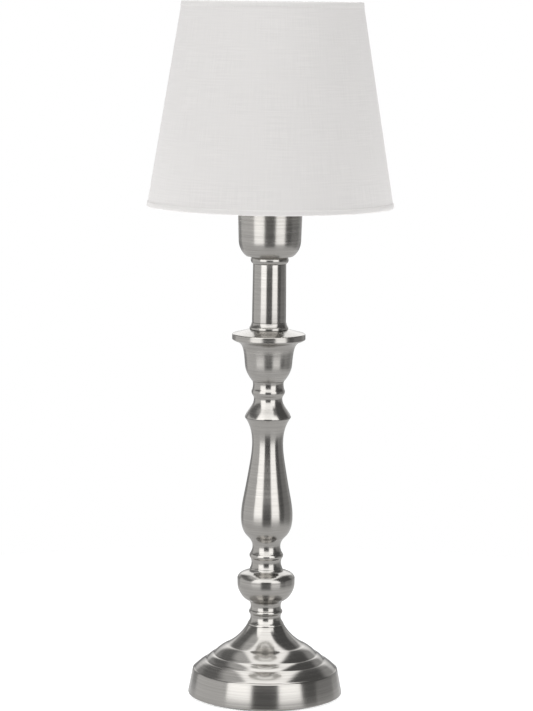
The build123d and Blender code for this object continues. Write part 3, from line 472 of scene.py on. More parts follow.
@dataclass(frozen=True)
class Linen(Finish):
    """Plain-woven linen that follows the cloth's own grain: warp, weft and uneven, slubby yarns."""

    yarn: float = 0.55 * MM
    sway: float = 1.6               # radians: how far the yarns stray
    sway_rate: float = 60.0         # rates are in cycles for each metre
    slub_length: float = 26 * MM
    slub_width: float = 1.2 * MM
    level_share: float = 0.55       # of the slubs; the others are upright
    patch_rate: float = 38.0
    patch_share: float = 0.65       # how much fewer slubs there are between the patches
    plain_tone: float = 0.32        # what takes their place there
    cloud_rate: float = 14.0
    contrast: float = 0.05
    depth: float = 0.09 * MM
    sheen: float = 0.15

    @staticmethod
    def pattern(graph: Graph, across: Value, up: Value, layer: float) -> Value:
        """Soft noise over the cloth; each pattern has its own layer, so no two match."""
        return graph.noise(graph.vector(across, up, layer), 1.0, 2.0)

    def slubs(self, graph: Graph, across: Value, up: Value) -> Value:
        """The thicker stretches of the yarns, which come in patches.

        Args:
            graph: the material's tree.
            across: the place round the cloth, in metres.
            up: the place up it.

        Returns:
            0 where the yarns are thin and 1 where they are thick.
        """
        level = self.pattern(graph, across / self.slub_length, up / self.slub_width, 3.0)
        upright = self.pattern(graph, across / self.slub_width, up / self.slub_length, 8.0)
        slubs = level * self.level_share + upright * (1 - self.level_share)
        patches = self.pattern(graph, across * self.patch_rate, up * self.patch_rate, 11.0).step(0.35, 0.65)
        share = 1 - self.patch_share + patches * self.patch_share
        return slubs.step(0.34, 0.66) * share + self.plain_tone * (1 - patches)

    def paint(self, graph: Graph) -> bpy.types.NodeSocket:
        """Reads the cloth's own coordinates, in metres round it and up it.

        Args:
            graph: the material's tree.

        Returns:
            The shader.
        """
        across, up, _ = graph.split(graph.attribute("weave", "Vector"))
        sway = self.pattern(graph, across * self.sway_rate, up * self.sway_rate, 0.0) * self.sway
        rate = math.pi / self.yarn
        warp = graph.maths("SINE", across * rate + sway)
        weft = graph.maths("SINE", up * rate + sway)
        weave = warp * weft * 0.25 + 0.5
        slubs = self.slubs(graph, across, up)
        cloud = self.pattern(graph, across * self.cloud_rate, up * self.cloud_rate, 5.0)
        return graph.principled(
            {
                "Base Color": self.varied(graph, self.contrast, slubs * 0.62 + cloud * 0.2 + weave * 0.18),
                "Roughness": self.roughness + slubs * 0.1,
                "Sheen Weight": self.sheen,
                "Sheen Roughness": 0.5,
                "Normal": self.bumped(graph, weave * 0.55 + slubs * 0.45, self.depth),
            }
        )


@dataclass(frozen=True)
class ClearGlass(Finish):
    """Drawn glass, with faint streaks along it."""

    streak_rate: float = 900.0      # streaks for each metre across it
    streak_length_rate: float = 60.0
    streak_gloss: float = 0.06
    through: float = 0.9

    def paint(self, graph: Graph) -> bpy.types.NodeSocket:
        """Mostly see-through, uneven in gloss.

        Args:
            graph: the material's tree.

        Returns:
            The shader.
        """
        x, y, z = graph.split(self.place(graph))
        across = self.streak_rate
        streaks = graph.noise(graph.vector(x * across, y * across, z * self.streak_length_rate), 1.0, 2.0)
        return graph.principled(
            {
                "Base Color": graph.tinted(self.shaded(0.92), self.shaded(1.0), streaks),
                "Roughness": self.roughness + streaks * self.streak_gloss,
                "Transmission Weight": self.through,
                "IOR": 1.5,
            }
        )


NICKEL_COLOUR = (0.475, 0.460, 0.438)
BRUSHED_NICKEL = TurnedMetal("brushed_nickel", NICKEL_COLOUR, 0.2)
CUP_NICKEL = TurnedMetal("brushed_nickel", NICKEL_COLOUR, 0.25, ring_spacing=1.7 * MM, ring_contrast=0.45)
FOOT_NICKEL = TurnedMetal(
    "polished_nickel", NICKEL_COLOUR, 0.19, mark_gloss=0.05, buffed=0.15, buffed_from=19.6 * MM
)
TURNED_STEEL = TurnedMetal("base_steel", (0.42, 0.42, 0.43), 0.34, ring_spacing=2.4 * MM, ring_contrast=0.2)
BRASS = TurnedMetal("brass", (0.62, 0.44, 0.19), 0.26, ring_spacing=0.8 * MM)
BULB_ALUMINIUM = TurnedMetal("bulb_aluminium", (0.66, 0.66, 0.67), 0.3, ring_spacing=0.6 * MM)
SOLDER = RoughMetal("solder", (0.55, 0.55, 0.56), 0.35, grain=0.9 * MM)
ZINC_STEEL = RoughMetal("zinc_steel", (0.55, 0.56, 0.58), 0.32, grain=0.5 * MM, grain_depth=0.01 * MM)
CAST_IRON = RoughMetal("cast_ballast", (0.16, 0.155, 0.15), 0.62, grain=1.1 * MM, grain_depth=0.12 * MM)
TUNGSTEN = RoughMetal("tungsten", (0.30, 0.30, 0.31), 0.4, grain=0.2 * MM)
BLACK_PLASTIC = Moulded("black_plastic", (0.018, 0.018, 0.019), 0.42, mottle=0.25)
WHITE_PLASTIC = Moulded("white_plastic", (0.72, 0.71, 0.68), 0.36, coat=0.15)
PORCELAIN = Moulded("porcelain", (0.74, 0.72, 0.67), 0.28, grain=0.5 * MM, coat=0.5)
BLACK_GLASS = Moulded("black_vitrite", (0.012, 0.012, 0.014), 0.12, grain=1.5 * MM, coat=0.3)
WHITE_ENAMEL = Moulded("white_wire", (0.76, 0.76, 0.74), 0.32, grain=0.7 * MM, coat=0.2)
LINER = Moulded(
    "white_liner", (0.80, 0.795, 0.775), 0.55, grain=0.4 * MM, grain_depth=0.01 * MM, mottle=0.025
)
OPAL_GLASS = Moulded(
    "opal_glass", (0.82, 0.82, 0.80), 0.16, grain=6 * MM, mottle=0.02, coat=0.4, through=0.4
)
STEM_GLASS = ClearGlass("stem_glass", (0.93, 0.95, 0.94), 0.04)
FELT = Felt("felt", (0.10, 0.097, 0.093), 0.85)
LINEN = Linen("linen", (0.785, 0.768, 0.757), 0.82)


# ---- Shapes ----------------------------------------------------------------------------------
@dataclass(frozen=True)
class Section:
    """The half section of a turned piece: points of radius and height, in metres. A bored piece's
    section is a closed loop, and a solid one's runs from the axis back to the axis."""

    points: tuple[tuple[float, float], ...]
    closed: bool
    # weights of painted shade at each point, where another piece meets this one
    joint_shades: tuple[float, ...] = ()

    @classmethod
    def of_node(cls, node: str) -> "Section":
        """Cuts a CAD node along the plane through its axis.

        Args:
            node: the name of a piece that is turned about the lamp's axis.

        Returns:
            Its longest outline on the +X side.
        """
        mesh = bmesh.new()
        mesh.from_mesh(frame["nodes"][node].data)
        bmesh.ops.remove_doubles(mesh, verts=mesh.verts, dist=POLE)
        # The first cut makes the section, and the second one splits the edges that cross the axis.
        for normal in ((0, 1, 0), (1, 0, 0)):
            geometry = [*mesh.verts, *mesh.edges, *mesh.faces]
            bmesh.ops.bisect_plane(mesh, geom=geometry, dist=POLE, plane_co=(0, 0, 0), plane_no=normal)
        mesh.verts.index_update()
        places = {v.index: v.co.copy() for v in mesh.verts}
        links: dict[int, set[int]] = {}
        for edge in mesh.edges:
            first, last = edge.verts
            on_cut = all(abs(v.co.y) < POLE and v.co.x > -POLE for v in edge.verts)
            if on_cut and max(first.co.x, last.co.x) > POLE:
                links.setdefault(first.index, set()).add(last.index)
                links.setdefault(last.index, set()).add(first.index)
        mesh.free()
        outlines = []
        while links:
            outlines.append(cls.chained(links, places))
        return max(outlines, key=lambda outline: len(outline.points)).simplified()

    @classmethod
    def chained(cls, links: dict[int, set[int]], places: dict[int, Vector]) -> "Section":
        """Takes one outline out of the links.

        Args:
            links: the neighbours of each point on the cut; the outline's points are removed.
            places: where each point is.

        Returns:
            The outline.
        """
        ends = [i for i, near in links.items() if len(near) == 1]
        start = min(ends or links, key=lambda i: (places[i].z, places[i].x))
        chain, here, closed = [start], start, False
        while True:
            step = next((i for i in links[here] if i not in chain[-2:] and i in links), None)
            if step is None or step in chain:
                closed = step == start
                break
            chain.append(step)
            here = step
        for i in chain:
            links.pop(i, None)
        for near in links.values():
            near.difference_update(chain)
        for i in [i for i, near in links.items() if not near]:
            links.pop(i)
        return cls(tuple((max(places[i].x, 0.0), places[i].z) for i in chain), closed)

    def corners(self) -> Iterator[tuple[Vector, Vector, Vector, float]]:
        """Goes along the outline.

        Yields:
            The point before, the point, the point after and the angle that the outline turns there.
        """
        count = len(self.points)
        for i, point in enumerate(self.points):
            here = Vector(point)
            if not self.closed and i in (0, count - 1):
                yield here, here, here, 0.0
                continue
            before, after = Vector(self.points[i - 1]), Vector(self.points[(i + 1) % count])
            yield before, here, after, (here - before).angle(after - here, 0.0)

    def simplified(self) -> "Section":
        """Drops the points that lie on a straight run.

        Returns:
            The same outline with fewer points.
        """
        ends = () if self.closed else (self.points[0], self.points[-1])
        kept = [
            point
            for point, (_, _, _, turn) in zip(self.points, self.corners())
            if turn > STRAIGHT or point in ends
        ]
        return Section(tuple(kept), self.closed)

    def refined(self, longest: float = 0.6 * MM) -> "Section":
        """Draws the curves between corners through more points: each side becomes a cubic whose
        ends head the way of the sides next to it.

        Args:
            longest: the longest straight piece that is left on a curve.

        Returns:
            The smoother outline.
        """
        turns = [turn for _, _, _, turn in self.corners()]
        count = len(self.points)
        points: list[tuple[float, float]] = []
        for i in range(count if self.closed else count - 1):
            here, after = Vector(self.points[i]), Vector(self.points[(i + 1) % count])
            points.append(tuple(here))
            chord = after - here
            turn_here, turn_after = turns[i], turns[(i + 1) % count]
            curved = any(BEND < turn < CORNER for turn in (turn_here, turn_after))
            if not curved or not longest < chord.length <= LONGEST_CHORD:
                continue
            before, beyond = Vector(self.points[i - 1]), Vector(self.points[(i + 2) % count])
            ahead = (after - before).normalized() * chord.length if 0 < turn_here < CORNER else chord
            behind = (beyond - here).normalized() * chord.length if 0 < turn_after < CORNER else chord
            steps = math.ceil(chord.length / longest)
            for step in range(1, steps):
                t = step / steps
                spot = (
                    here * (2 * t**3 - 3 * t**2 + 1) + ahead * (t**3 - 2 * t**2 + t)
                    + after * (3 * t**2 - 2 * t**3) + behind * (t**3 - t**2)
                )
                points.append((max(spot.x, 0.0), spot.y))
        if not self.closed:
            points.append(self.points[-1])
        return Section(tuple(points), self.closed)

    def rounded(self, radius: float, steps: int = 4) -> "Section":
        """Rounds the corners, as a turned edge is broken, and gives those at the piece's ends weights of
        painted shade, since another piece meets it there.

        Args:
            radius: the fillet's radius, less where the sides are short.
            steps: how many points a rounded corner has, less one.

        Returns:
            The rounded outline.
        """
        points: list[tuple[float, float]] = []
        joint_shades: list[float] = []
        ends = min(height for _, height in self.points), max(height for _, height in self.points)
        for before, here, after, turn in self.corners():
            if turn < CORNER or here.x < POLE:
                points.append((here.x, here.y))
                joint_shades.append(0.0)
                continue
            reach = radius * math.tan(turn / 2)
            back = here + (before - here).normalized() * min(reach, 0.4 * (before - here).length)
            on = here + (after - here).normalized() * min(reach, 0.4 * (after - here).length)
            # a corner at the piece's end gets painted shade, since another piece meets it there
            at_end = min(abs(here.y - end) for end in ends) < radius
            for step in range(steps + 1):
                t = step / steps
                spot = back * (1 - t) ** 2 + here * 2 * t * (1 - t) + on * t * t
                points.append((spot.x, spot.y))
                joint_shades.append(math.sin(math.pi * t) ** 0.5 if at_end else 0.0)
        return Section(tuple(points), self.closed, tuple(joint_shades))


def smooth(mesh: bpy.types.Mesh) -> None:
    """Shades a mesh smooth, but for its sharp edges."""
    mesh.shade_smooth()
    mesh.set_sharp_from_angle(angle=CORNER)


def outward(mesh: bpy.types.Mesh) -> None:
    """Merges a mesh's doubles and turns its faces outwards.

    Args:
        mesh: a closed mesh, or an open sheet whose faces shall agree.
    """
    work = bmesh.new()
    work.from_mesh(mesh)
    bmesh.ops.remove_doubles(work, verts=work.verts, dist=POLE)
    bmesh.ops.recalc_face_normals(work, faces=work.faces)
    work.to_mesh(mesh)
    work.free()


def new_piece(name: str, mesh: bpy.types.Mesh) -> bpy.types.Object:
    """Puts a mesh in the scene.

    Args:
        name: the new object's name.
        mesh: its mesh, with its place in it.

    Returns:
        The object, at the origin.
    """
    mesh.name = name
    piece = bpy.data.objects.new(name, mesh)
    bpy.context.scene.collection.objects.link(piece)
    return piece


def applied(piece: bpy.types.Object) -> bpy.types.Object:
    """Makes what a piece's modifiers show its mesh.

    Args:
        piece: a piece with modifiers.

    Returns:
        The piece, with a plain mesh and no modifier.
    """
    evaluated = piece.evaluated_get(bpy.context.evaluated_depsgraph_get())
    mesh = bpy.data.meshes.new_from_object(evaluated)
    mesh.name = piece.name
    piece.modifiers.clear()
    piece.data = mesh
    return piece


def turned(name: str, section: Section, segments: int) -> bpy.types.Object:
    """Turns a section about the lamp's axis.

    Args:
        name: the new piece's name.
        section: its half section.
        segments: how many sides a full turn has.

    Returns:
        A closed piece with its faces outwards.
    """
    verts: list[tuple[float, float, float]] = []
    rings: list[list[int]] = []
    for radius, height in section.points:
        start = len(verts)
        if radius < POLE:
            verts.append((0.0, 0.0, height))
        else:
            angles = (TURN * side / segments for side in range(segments))
            verts += [(radius * math.cos(turn), radius * math.sin(turn), height) for turn in angles]
        rings.append(list(range(start, len(verts))))
    faces: list[tuple[int, ...]] = []
    pairs = list(zip(rings, rings[1:])) + ([(rings[-1], rings[0])] if section.closed else [])
    for low, high in pairs:
        for side in range(segments):
            after = (side + 1) % segments
            around = [low[side % len(low)], low[after % len(low)]]
            around += [high[after % len(high)], high[side % len(high)]]
            face = tuple(dict.fromkeys(around))
            if len(face) > 2:
                faces.append(face)
    mesh = bpy.data.meshes.new(name)
    mesh.from_pydata(verts, [], faces)
    # painted shade where two pieces meet, stored as a weight at each ring of points
    if section.joint_shades:
        joint_shade_layer = mesh.attributes.new("joint_shade", "FLOAT", "POINT")
        joint_shade_layer.data.foreach_set("value", [joint_shade for ring, joint_shade in zip(rings, section.joint_shades) for _ in ring])
    outward(mesh)
    smooth(mesh)
    return new_piece(name, mesh)


def joined(name: str, pieces: list[bpy.types.Object]) -> bpy.types.Object:
    """Makes several new pieces one.

    Args:
        name: the name of the result.
        pieces: the pieces, which are used up.

    Returns:
        One piece at the origin.
    """
    work = bmesh.new()
    for piece in pieces:
        work.from_mesh(piece.data)
        bpy.data.objects.remove(piece)
    mesh = bpy.data.meshes.new(name)
    work.to_mesh(mesh)
    work.free()
    smooth(mesh)
    return new_piece(name, mesh)


def copied(name: str, node: str) -> bpy.types.Object:
    """Copies a CAD node that isn't turned about the axis.

    Args:
        name: the new piece's name.
        node: the node.

    Returns:
        A merged and smooth piece of the same shape.
    """
    mesh = frame["nodes"][node].data.copy()
    mesh.materials.clear()
    outward(mesh)
    smooth(mesh)
    return new_piece(name, mesh)


def dressed(piece: bpy.types.Object, finish: Finish, body: Body, *nodes: str) -> bpy.types.Object:
    """Finishes a piece and ties it to the model.

    Args:
        piece: the new piece.
        finish: its finish.
        body: the body that it rides on.
        nodes: the CAD nodes that it stands for.

    Returns:
        The piece.
    """
    piece.data.materials.clear()
    piece.data.materials.append(finish.material())
    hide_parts(*nodes)
    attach(piece, body.value)
    log.info("%s stands for %s on %s", piece.name, ", ".join(nodes), body.value)
    return piece


def painted(finish: Finish, *nodes: str) -> None:
    """Gives CAD nodes, which keep their own meshes, their finish.

    Args:
        finish: the finish.
        nodes: the nodes' names.
    """
    for node in nodes:
        data = frame["nodes"][node].data
        data.materials.clear()
        data.materials.append(finish.material())
        log.info("%s keeps its own shape", node)


# ---- Shapes that follow a rule ---------------------------------------------------------------
class Rule:
    """A geometry node tree with named inputs, run once for each piece that it makes."""

    def __init__(self, name: str, inputs: dict[str, float | int]) -> None:
        """Args:
            name: the rule's name.
            inputs: each input's name and its usual value; a whole number makes a whole input.
        """
        self.tree = bpy.data.node_groups.new(name, "GeometryNodeTree")
        self.graph = Graph(self.tree)
        for label, value in inputs.items():
            kind = "NodeSocketInt" if isinstance(value, int) else "NodeSocketFloat"
            socket = self.tree.interface.new_socket(name=label, in_out="INPUT", socket_type=kind)
            socket.default_value = value
        self.tree.interface.new_socket(name="Finish", in_out="INPUT", socket_type="NodeSocketMaterial")
        self.tree.interface.new_socket(name="Geometry", in_out="OUTPUT", socket_type="NodeSocketGeometry")
        self.given = self.graph.node("NodeGroupInput")

    def input(self, label: str) -> Value:
        """One of the rule's inputs."""
        return Value(self.graph, self.given.outputs[label])

    def rows_round(self, rows: Value) -> tuple[bpy.types.NodeSocket, Value, Value]:
        """A grid whose columns go once round the axis, one for each of the input Segments.

        Args:
            rows: how many rows of points the grid has.

        Returns:
            The grid, and the shares of the way round and of the way up, from 0 to 1.
        """
        columns = self.input("Segments") + 1
        grid = self.graph.node("GeometryNodeMeshGrid", {0: 1.0, 1: 1.0, 2: columns, 3: rows})
        x, y, _ = self.graph.split(self.graph.node("GeometryNodeInputPosition").outputs[0])
        return grid.outputs["Mesh"], x + 0.5, y + 0.5

    def swept(self, curve: bpy.types.NodeSocket, radius: str) -> bpy.types.NodeSocket:
        """A round wire along a curve, with the sides of the input Sides.

        Args:
            curve: the curve.
            radius: the name of the input that gives the wire's radius.

        Returns:
            The wire, with closed ends.
        """
        profile = self.graph.node(
            "GeometryNodeCurvePrimitiveCircle",
            {"Resolution": self.input("Sides"), "Radius": self.input(radius)},
        )
        wire = self.graph.node(
            "GeometryNodeCurveToMesh",
            {0: curve, "Profile Curve": profile.outputs[0], "Fill Caps": True},
        )
        return wire.outputs[0]

    def raised(self, geometry: bpy.types.NodeSocket, height: Value) -> bpy.types.NodeSocket:
        """Geometry moved up by a height."""
        offset = self.graph.vector(0.0, 0.0, height)
        return self.graph.node("GeometryNodeSetPosition", {"Geometry": geometry, "Offset": offset}).outputs[0]

    def end(self, geometry: bpy.types.NodeSocket) -> "Rule":
        """Ends the tree: realizes what it made and gives it its finish.

        Args:
            geometry: what the rule made.

        Returns:
            The rule, ready to make pieces.
        """
        real = self.graph.node("GeometryNodeRealizeInstances", {0: geometry})
        finish = self.graph.node(
            "GeometryNodeSetMaterial",
            {"Geometry": real.outputs[0], "Material": self.given.outputs["Finish"]},
        )
        self.graph.node("NodeGroupOutput", {0: finish.outputs[0]})
        return self

    def end_wrapped(
        self, grid: bpy.types.NodeSocket, place: bpy.types.NodeSocket, weave: bpy.types.NodeSocket
    ) -> "Rule":
        """Ends a tree that wraps a grid round the axis.

        Args:
            grid: the flat grid.
            place: where each of its points goes.
            weave: the surface's own coordinates there, in metres.

        Returns:
            The rule, ready to make pieces.
        """
        stored = self.graph.node(
            "GeometryNodeStoreNamedAttribute",
            {"Geometry": grid, "Name": "weave", "Value": weave},
            data_type="FLOAT_VECTOR",
            domain="CORNER",
        )
        moved = self.graph.node(
            "GeometryNodeSetPosition", {"Geometry": stored.outputs[0], "Position": place}
        )
        merged = self.graph.node(
            "GeometryNodeMergeByDistance", {"Geometry": moved.outputs[0], "Distance": POLE}
        )
        return self.end(merged.outputs[0])

    def piece(self, name: str, finish: Finish, values: dict[str, float | int]) -> bpy.types.Object:
        """Runs the rule.

        Args:
            name: the new piece's name.
            finish: its finish.
            values: the inputs that differ from their usual values.

        Returns:
            A piece with a plain mesh and no modifier.
        """
        host = new_piece(name, bpy.data.meshes.new(name))
        modifier = host.modifiers.new("rule", "NODES")
        modifier.node_group = self.tree
        sockets = {s.name: s.identifier for s in self.tree.interface.items_tree if s.in_out == "INPUT"}
        modifier[sockets["Finish"]] = finish.material()
        for label, value in values.items():
            modifier[sockets[label]] = value
        host.update_tag()
        return applied(host)


def tapered_cloth_rule() -> Rule:
    """A cloth wound once round a tapered drum and lapped at the back, with the weave's own
    coordinates, in metres round it and up it.

    Returns:
        The rule.
    """
    rule = Rule(
        "tapered_cloth",
        {
            "Lower Radius": 0.1, "Upper Radius": 0.07, "Lower Edge": 0.0, "Upper Edge": 0.16,
            "Lap Width": 10 * MM, "Lap Rise": 0.0, "Segments": 240, "Rows": 40,
        },
    )
    graph = rule.graph
    grid, around, up = rule.rows_round(rule.input("Rows"))
    lower, upper = rule.input("Lower Radius"), rule.input("Upper Radius")
    low, high = rule.input("Lower Edge"), rule.input("Upper Edge")
    radius = lower + (upper - lower) * up
    from_seam = graph.maths("MINIMUM", around, 1 - around) * radius * TURN
    lap = 1 - graph.maths("SMOOTH_MIN", from_seam / (rule.input("Lap Width") * 0.5), 1.0, 0.3)
    lapped = radius + graph.maths("MINIMUM", lap * 3, 1.0) * rule.input("Lap Rise")
    turn = around * TURN + BACK
    x, y = graph.maths("COSINE", turn) * lapped, graph.maths("SINE", turn) * lapped
    slant = ((high - low) ** 2.0 + (lower - upper) ** 2.0) ** 0.5
    weave = graph.vector(around * (lower + upper) * math.pi, up * slant)
    return rule.end_wrapped(grid, graph.vector(x, y, low + (high - low) * up), weave)


def rolled_edge_rule() -> Rule:
    """A hoop with a rounded section: a rolled hem or, with a round section, a wire ring.

    Returns:
        The rule.
    """
    rule = Rule(
        "rolled_edge",
        {
            "Radius": 0.1, "Height": 0.0, "Width": 2 * MM, "Tall": 2 * MM, "Taper": 0.0,
            "Squareness": 1.0, "Waviness": 0.0, "Segments": 240, "Sides": 17,
        },
    )
    graph = rule.graph
    grid, around, along = rule.rows_round(rule.input("Sides"))
    angle = along * TURN
    cosine, sine = graph.maths("COSINE", angle), graph.maths("SINE", angle)
    power = 1 / rule.input("Squareness")
    out = graph.maths("SIGN", cosine) * graph.maths("ABSOLUTE", cosine) ** power
    rise = graph.maths("SIGN", sine) * graph.maths("ABSOLUTE", sine) ** power
    turn = around * TURN + BACK
    x, y = graph.maths("COSINE", turn), graph.maths("SINE", turn)
    ripple = graph.noise(graph.vector(x * 6, y * 6, rise), 1.0, 2.0)
    half_tall = rise * rule.input("Tall") * 0.5
    radius = (
        rule.input("Radius") + out * rule.input("Width") * 0.5 - half_tall * rule.input("Taper")
        + (ripple - 0.5) * rule.input("Waviness")
    )
    place = graph.vector(x * radius, y * radius, rule.input("Height") + half_tall)
    weave = graph.vector(around * rule.input("Radius") * TURN, along * rule.input("Tall") * 2)
    return rule.end_wrapped(grid, place, weave)


def grips_rule() -> Rule:
    """Upright half-round grips spaced evenly round a collar.

    Returns:
        The rule.
    """
    rule = Rule(
        "grips",
        {"Count": 18, "Radius": 0.02, "Height": 0.0, "Tall": 5 * MM, "Grip Radius": 1.2 * MM, "Sides": 12},
    )
    graph = rule.graph
    ring = graph.node(
        "GeometryNodeMeshCircle", {"Vertices": rule.input("Count"), "Radius": rule.input("Radius")}
    )
    post = graph.node(
        "GeometryNodeMeshCylinder",
        {"Vertices": rule.input("Sides"), "Radius": rule.input("Grip Radius"), "Depth": rule.input("Tall")},
    )
    spread = graph.node(
        "GeometryNodeInstanceOnPoints", {"Points": ring.outputs[0], "Instance": post.outputs[0]}
    )
    real = graph.node("GeometryNodeRealizeInstances", {0: spread.outputs[0]})
    return rule.end(rule.raised(real.outputs[0], rule.input("Height")))


def thread_rule() -> Rule:
    """A rounded screw thread: a round section that follows a helix.

    Returns:
        The rule.
    """
    rule = Rule(
        "screw_thread",
        {
            "Turns": 4.0, "Radius": 0.012, "Start": 0.0, "Tall": 0.014, "Thickness": 0.8 * MM,
            "Steps": 96, "Sides": 12,
        },
    )
    helix = rule.graph.node(
        "GeometryNodeCurveSpiral",
        {
            "Resolution": rule.input("Steps"), "Rotations": rule.input("Turns"),
            "Start Radius": rule.input("Radius"), "End Radius": rule.input("Radius"),
            "Height": rule.input("Tall"),
        },
    )
    return rule.end(rule.raised(rule.swept(helix.outputs[0], "Thickness"), rule.input("Start")))


def arms_rule() -> Rule:
    """Bent wire arms from a hub down to a hoop, spaced evenly round the axis.

    Returns:
        The rule.
    """
    rule = Rule(
        "wire_arms",
        {
            "Count": 3, "Inner Radius": 0.025, "Bend Radius": 0.08, "Outer Radius": 0.1, "Upper Level": 0.4,
            "Lower Level": 0.39, "Bend": 12 * MM, "Bend Steps": 10, "Wire": 1.4 * MM, "First Turn": BACK,
            "Sides": 16,
        },
    )
    graph = rule.graph
    line = graph.node("GeometryNodeMeshLine", {"Count": 3}, mode="OFFSET", count_mode="TOTAL")
    index = Value(graph, graph.node("GeometryNodeInputIndex").outputs[0])
    second, third = graph.maths("COMPARE", index, 1.0, 0.1), graph.maths("COMPARE", index, 2.0, 0.1)
    inner, knee, outer = (rule.input(f"{where} Radius") for where in ("Inner", "Bend", "Outer"))
    radius = inner + (knee - inner) * second + (outer - inner) * third
    level = rule.input("Upper Level") + (rule.input("Lower Level") - rule.input("Upper Level")) * third
    corners = graph.node(
        "GeometryNodeSetPosition", {"Geometry": line.outputs[0], "Position": graph.vector(radius, 0.0, level)}
    )
    curve = graph.node("GeometryNodeMeshToCurve", {0: corners.outputs[0]})
    bent = graph.node(
        "GeometryNodeFilletCurve",
        {"Curve": curve.outputs[0], "Count": rule.input("Bend Steps"), "Radius": rule.input("Bend")},
        mode="POLY",
    )
    seats = graph.node(
        "GeometryNodeMeshLine",
        {"Count": rule.input("Count"), "Offset": (0.0, 0.0, 0.0)},
        mode="OFFSET",
        count_mode="TOTAL",
    )
    turn = index * TURN / rule.input("Count") + rule.input("First Turn")
    spread = graph.node(
        "GeometryNodeInstanceOnPoints",
        {
            "Points": seats.outputs[0], "Instance": rule.swept(bent.outputs[0], "Wire"),
            "Rotation": graph.vector(0.0, 0.0, turn),
        },
    )
    return rule.end(spread.outputs[0])


# ---- Sub-assemblies --------------------------------------------------------------------------
@dataclass
class TurnedPieces:
    """A set of turned pieces: new skins from the CAD sections, with their edges broken."""

    body: Body
    finish: Finish
    nodes: tuple[str, ...]
    edge: float = 0.3 * MM
    segments: int = 160

    def build(self) -> None:
        """Turns a skin for each piece and dresses it."""
        for node in self.nodes:
            section = Section.of_node(node).refined().rounded(self.edge)
            dressed(turned(f"turned_{node}", section, self.segments), self.finish, self.body, node)


@dataclass
class Foot:
    """The foot: its shell, ballast, cover plate, felt pad and cord inlet."""

    edge: float = 0.35 * MM
    felt_edge: float = 0.5 * MM
    segments: int = 256
    hole_over_bore: float = 1.39    # the hole for the cord inlet, as a multiple of the inlet's bore
    drill_length: float = 30 * MM
    drill_sides: int = 64

    def build(self) -> None:
        """Builds the foot's pieces."""
        TurnedPieces(Body.BASE, TURNED_STEEL, ("cover_plate",), self.edge, self.segments).build()
        TurnedPieces(Body.BASE, FELT, ("felt_pad",), self.felt_edge, self.segments).build()
        dressed(self.shell(), FOOT_NICKEL, Body.BASE, "foot_shell")
        dressed(copied("moulded_cord_inlet", "cord_inlet"), BLACK_PLASTIC, Body.BASE, "cord_inlet")
        painted(CAST_IRON, "base_weight")

    def shell(self) -> bpy.types.Object:
        """Spins the shell and drills its skirt for the cord inlet.

        Returns:
            The shell.
        """
        section = Section.of_node("foot_shell").refined().rounded(self.edge)
        shell = turned("spun_foot_shell", section, self.segments)
        drill = self.drill()
        cut = shell.modifiers.new("hole", "BOOLEAN")
        cut.operation, cut.object, cut.solver = "DIFFERENCE", drill, "EXACT"
        applied(shell)
        bpy.data.objects.remove(drill)
        smooth(shell.data)
        return shell

    def drill(self) -> bpy.types.Object:
        """Makes the tool that cuts the hole, on the inlet's own axis.

        Returns:
            A cylinder through the skirt.
        """
        low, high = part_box("cord_inlet")
        inlet = next(mount for mount in frame["record"]["mounts"] if mount["name"] == "cord_inlet")
        radius = self.hole_over_bore * inlet["dims"]["r_mm"] * MM
        aim = Vector(inlet["axis"]).to_track_quat("Z", "Y").to_matrix().to_4x4()
        work = bmesh.new()
        bmesh.ops.create_cone(
            work, segments=self.drill_sides, radius1=radius, radius2=radius, depth=self.drill_length,
            cap_ends=True, matrix=Matrix.Translation((low + high) / 2) @ aim,
        )
        mesh = bpy.data.meshes.new("drill")
        work.to_mesh(mesh)
        work.free()
        return new_piece("drill", mesh)


@dataclass
class Stem:
    """The stack of turned sleeves from the foot to the lampholder cup, and the rod inside it."""

    sleeves: tuple[str, ...] = (
        "lower_neck", "bowl", "upper_neck", "vase", "knuckle",
        "lower_collar", "candle_tube", "upper_collar",
    )
    socket: tuple[str, ...] = ("candle_socket", "drip_pan")
    cup: tuple[str, ...] = ("lampholder_cup",)
    rod: tuple[str, ...] = ("rod_washer", "rod_nut", "cup_washer", "cup_nut", "threaded_rod")
    edge: float = 0.3 * MM
    socket_edge: float = 0.9 * MM
    cup_edge: float = 0.35 * MM
    cup_segments: int = 192

    def build(self) -> None:
        """Builds the sleeves, the socket, the cup and the rod."""
        TurnedPieces(Body.BASE, BRUSHED_NICKEL, self.sleeves, self.edge).build()
        TurnedPieces(Body.BASE, CUP_NICKEL, self.socket, self.socket_edge).build()
        TurnedPieces(Body.BASE, CUP_NICKEL, self.cup, self.cup_edge, self.cup_segments).build()
        painted(ZINC_STEEL, *self.rod)


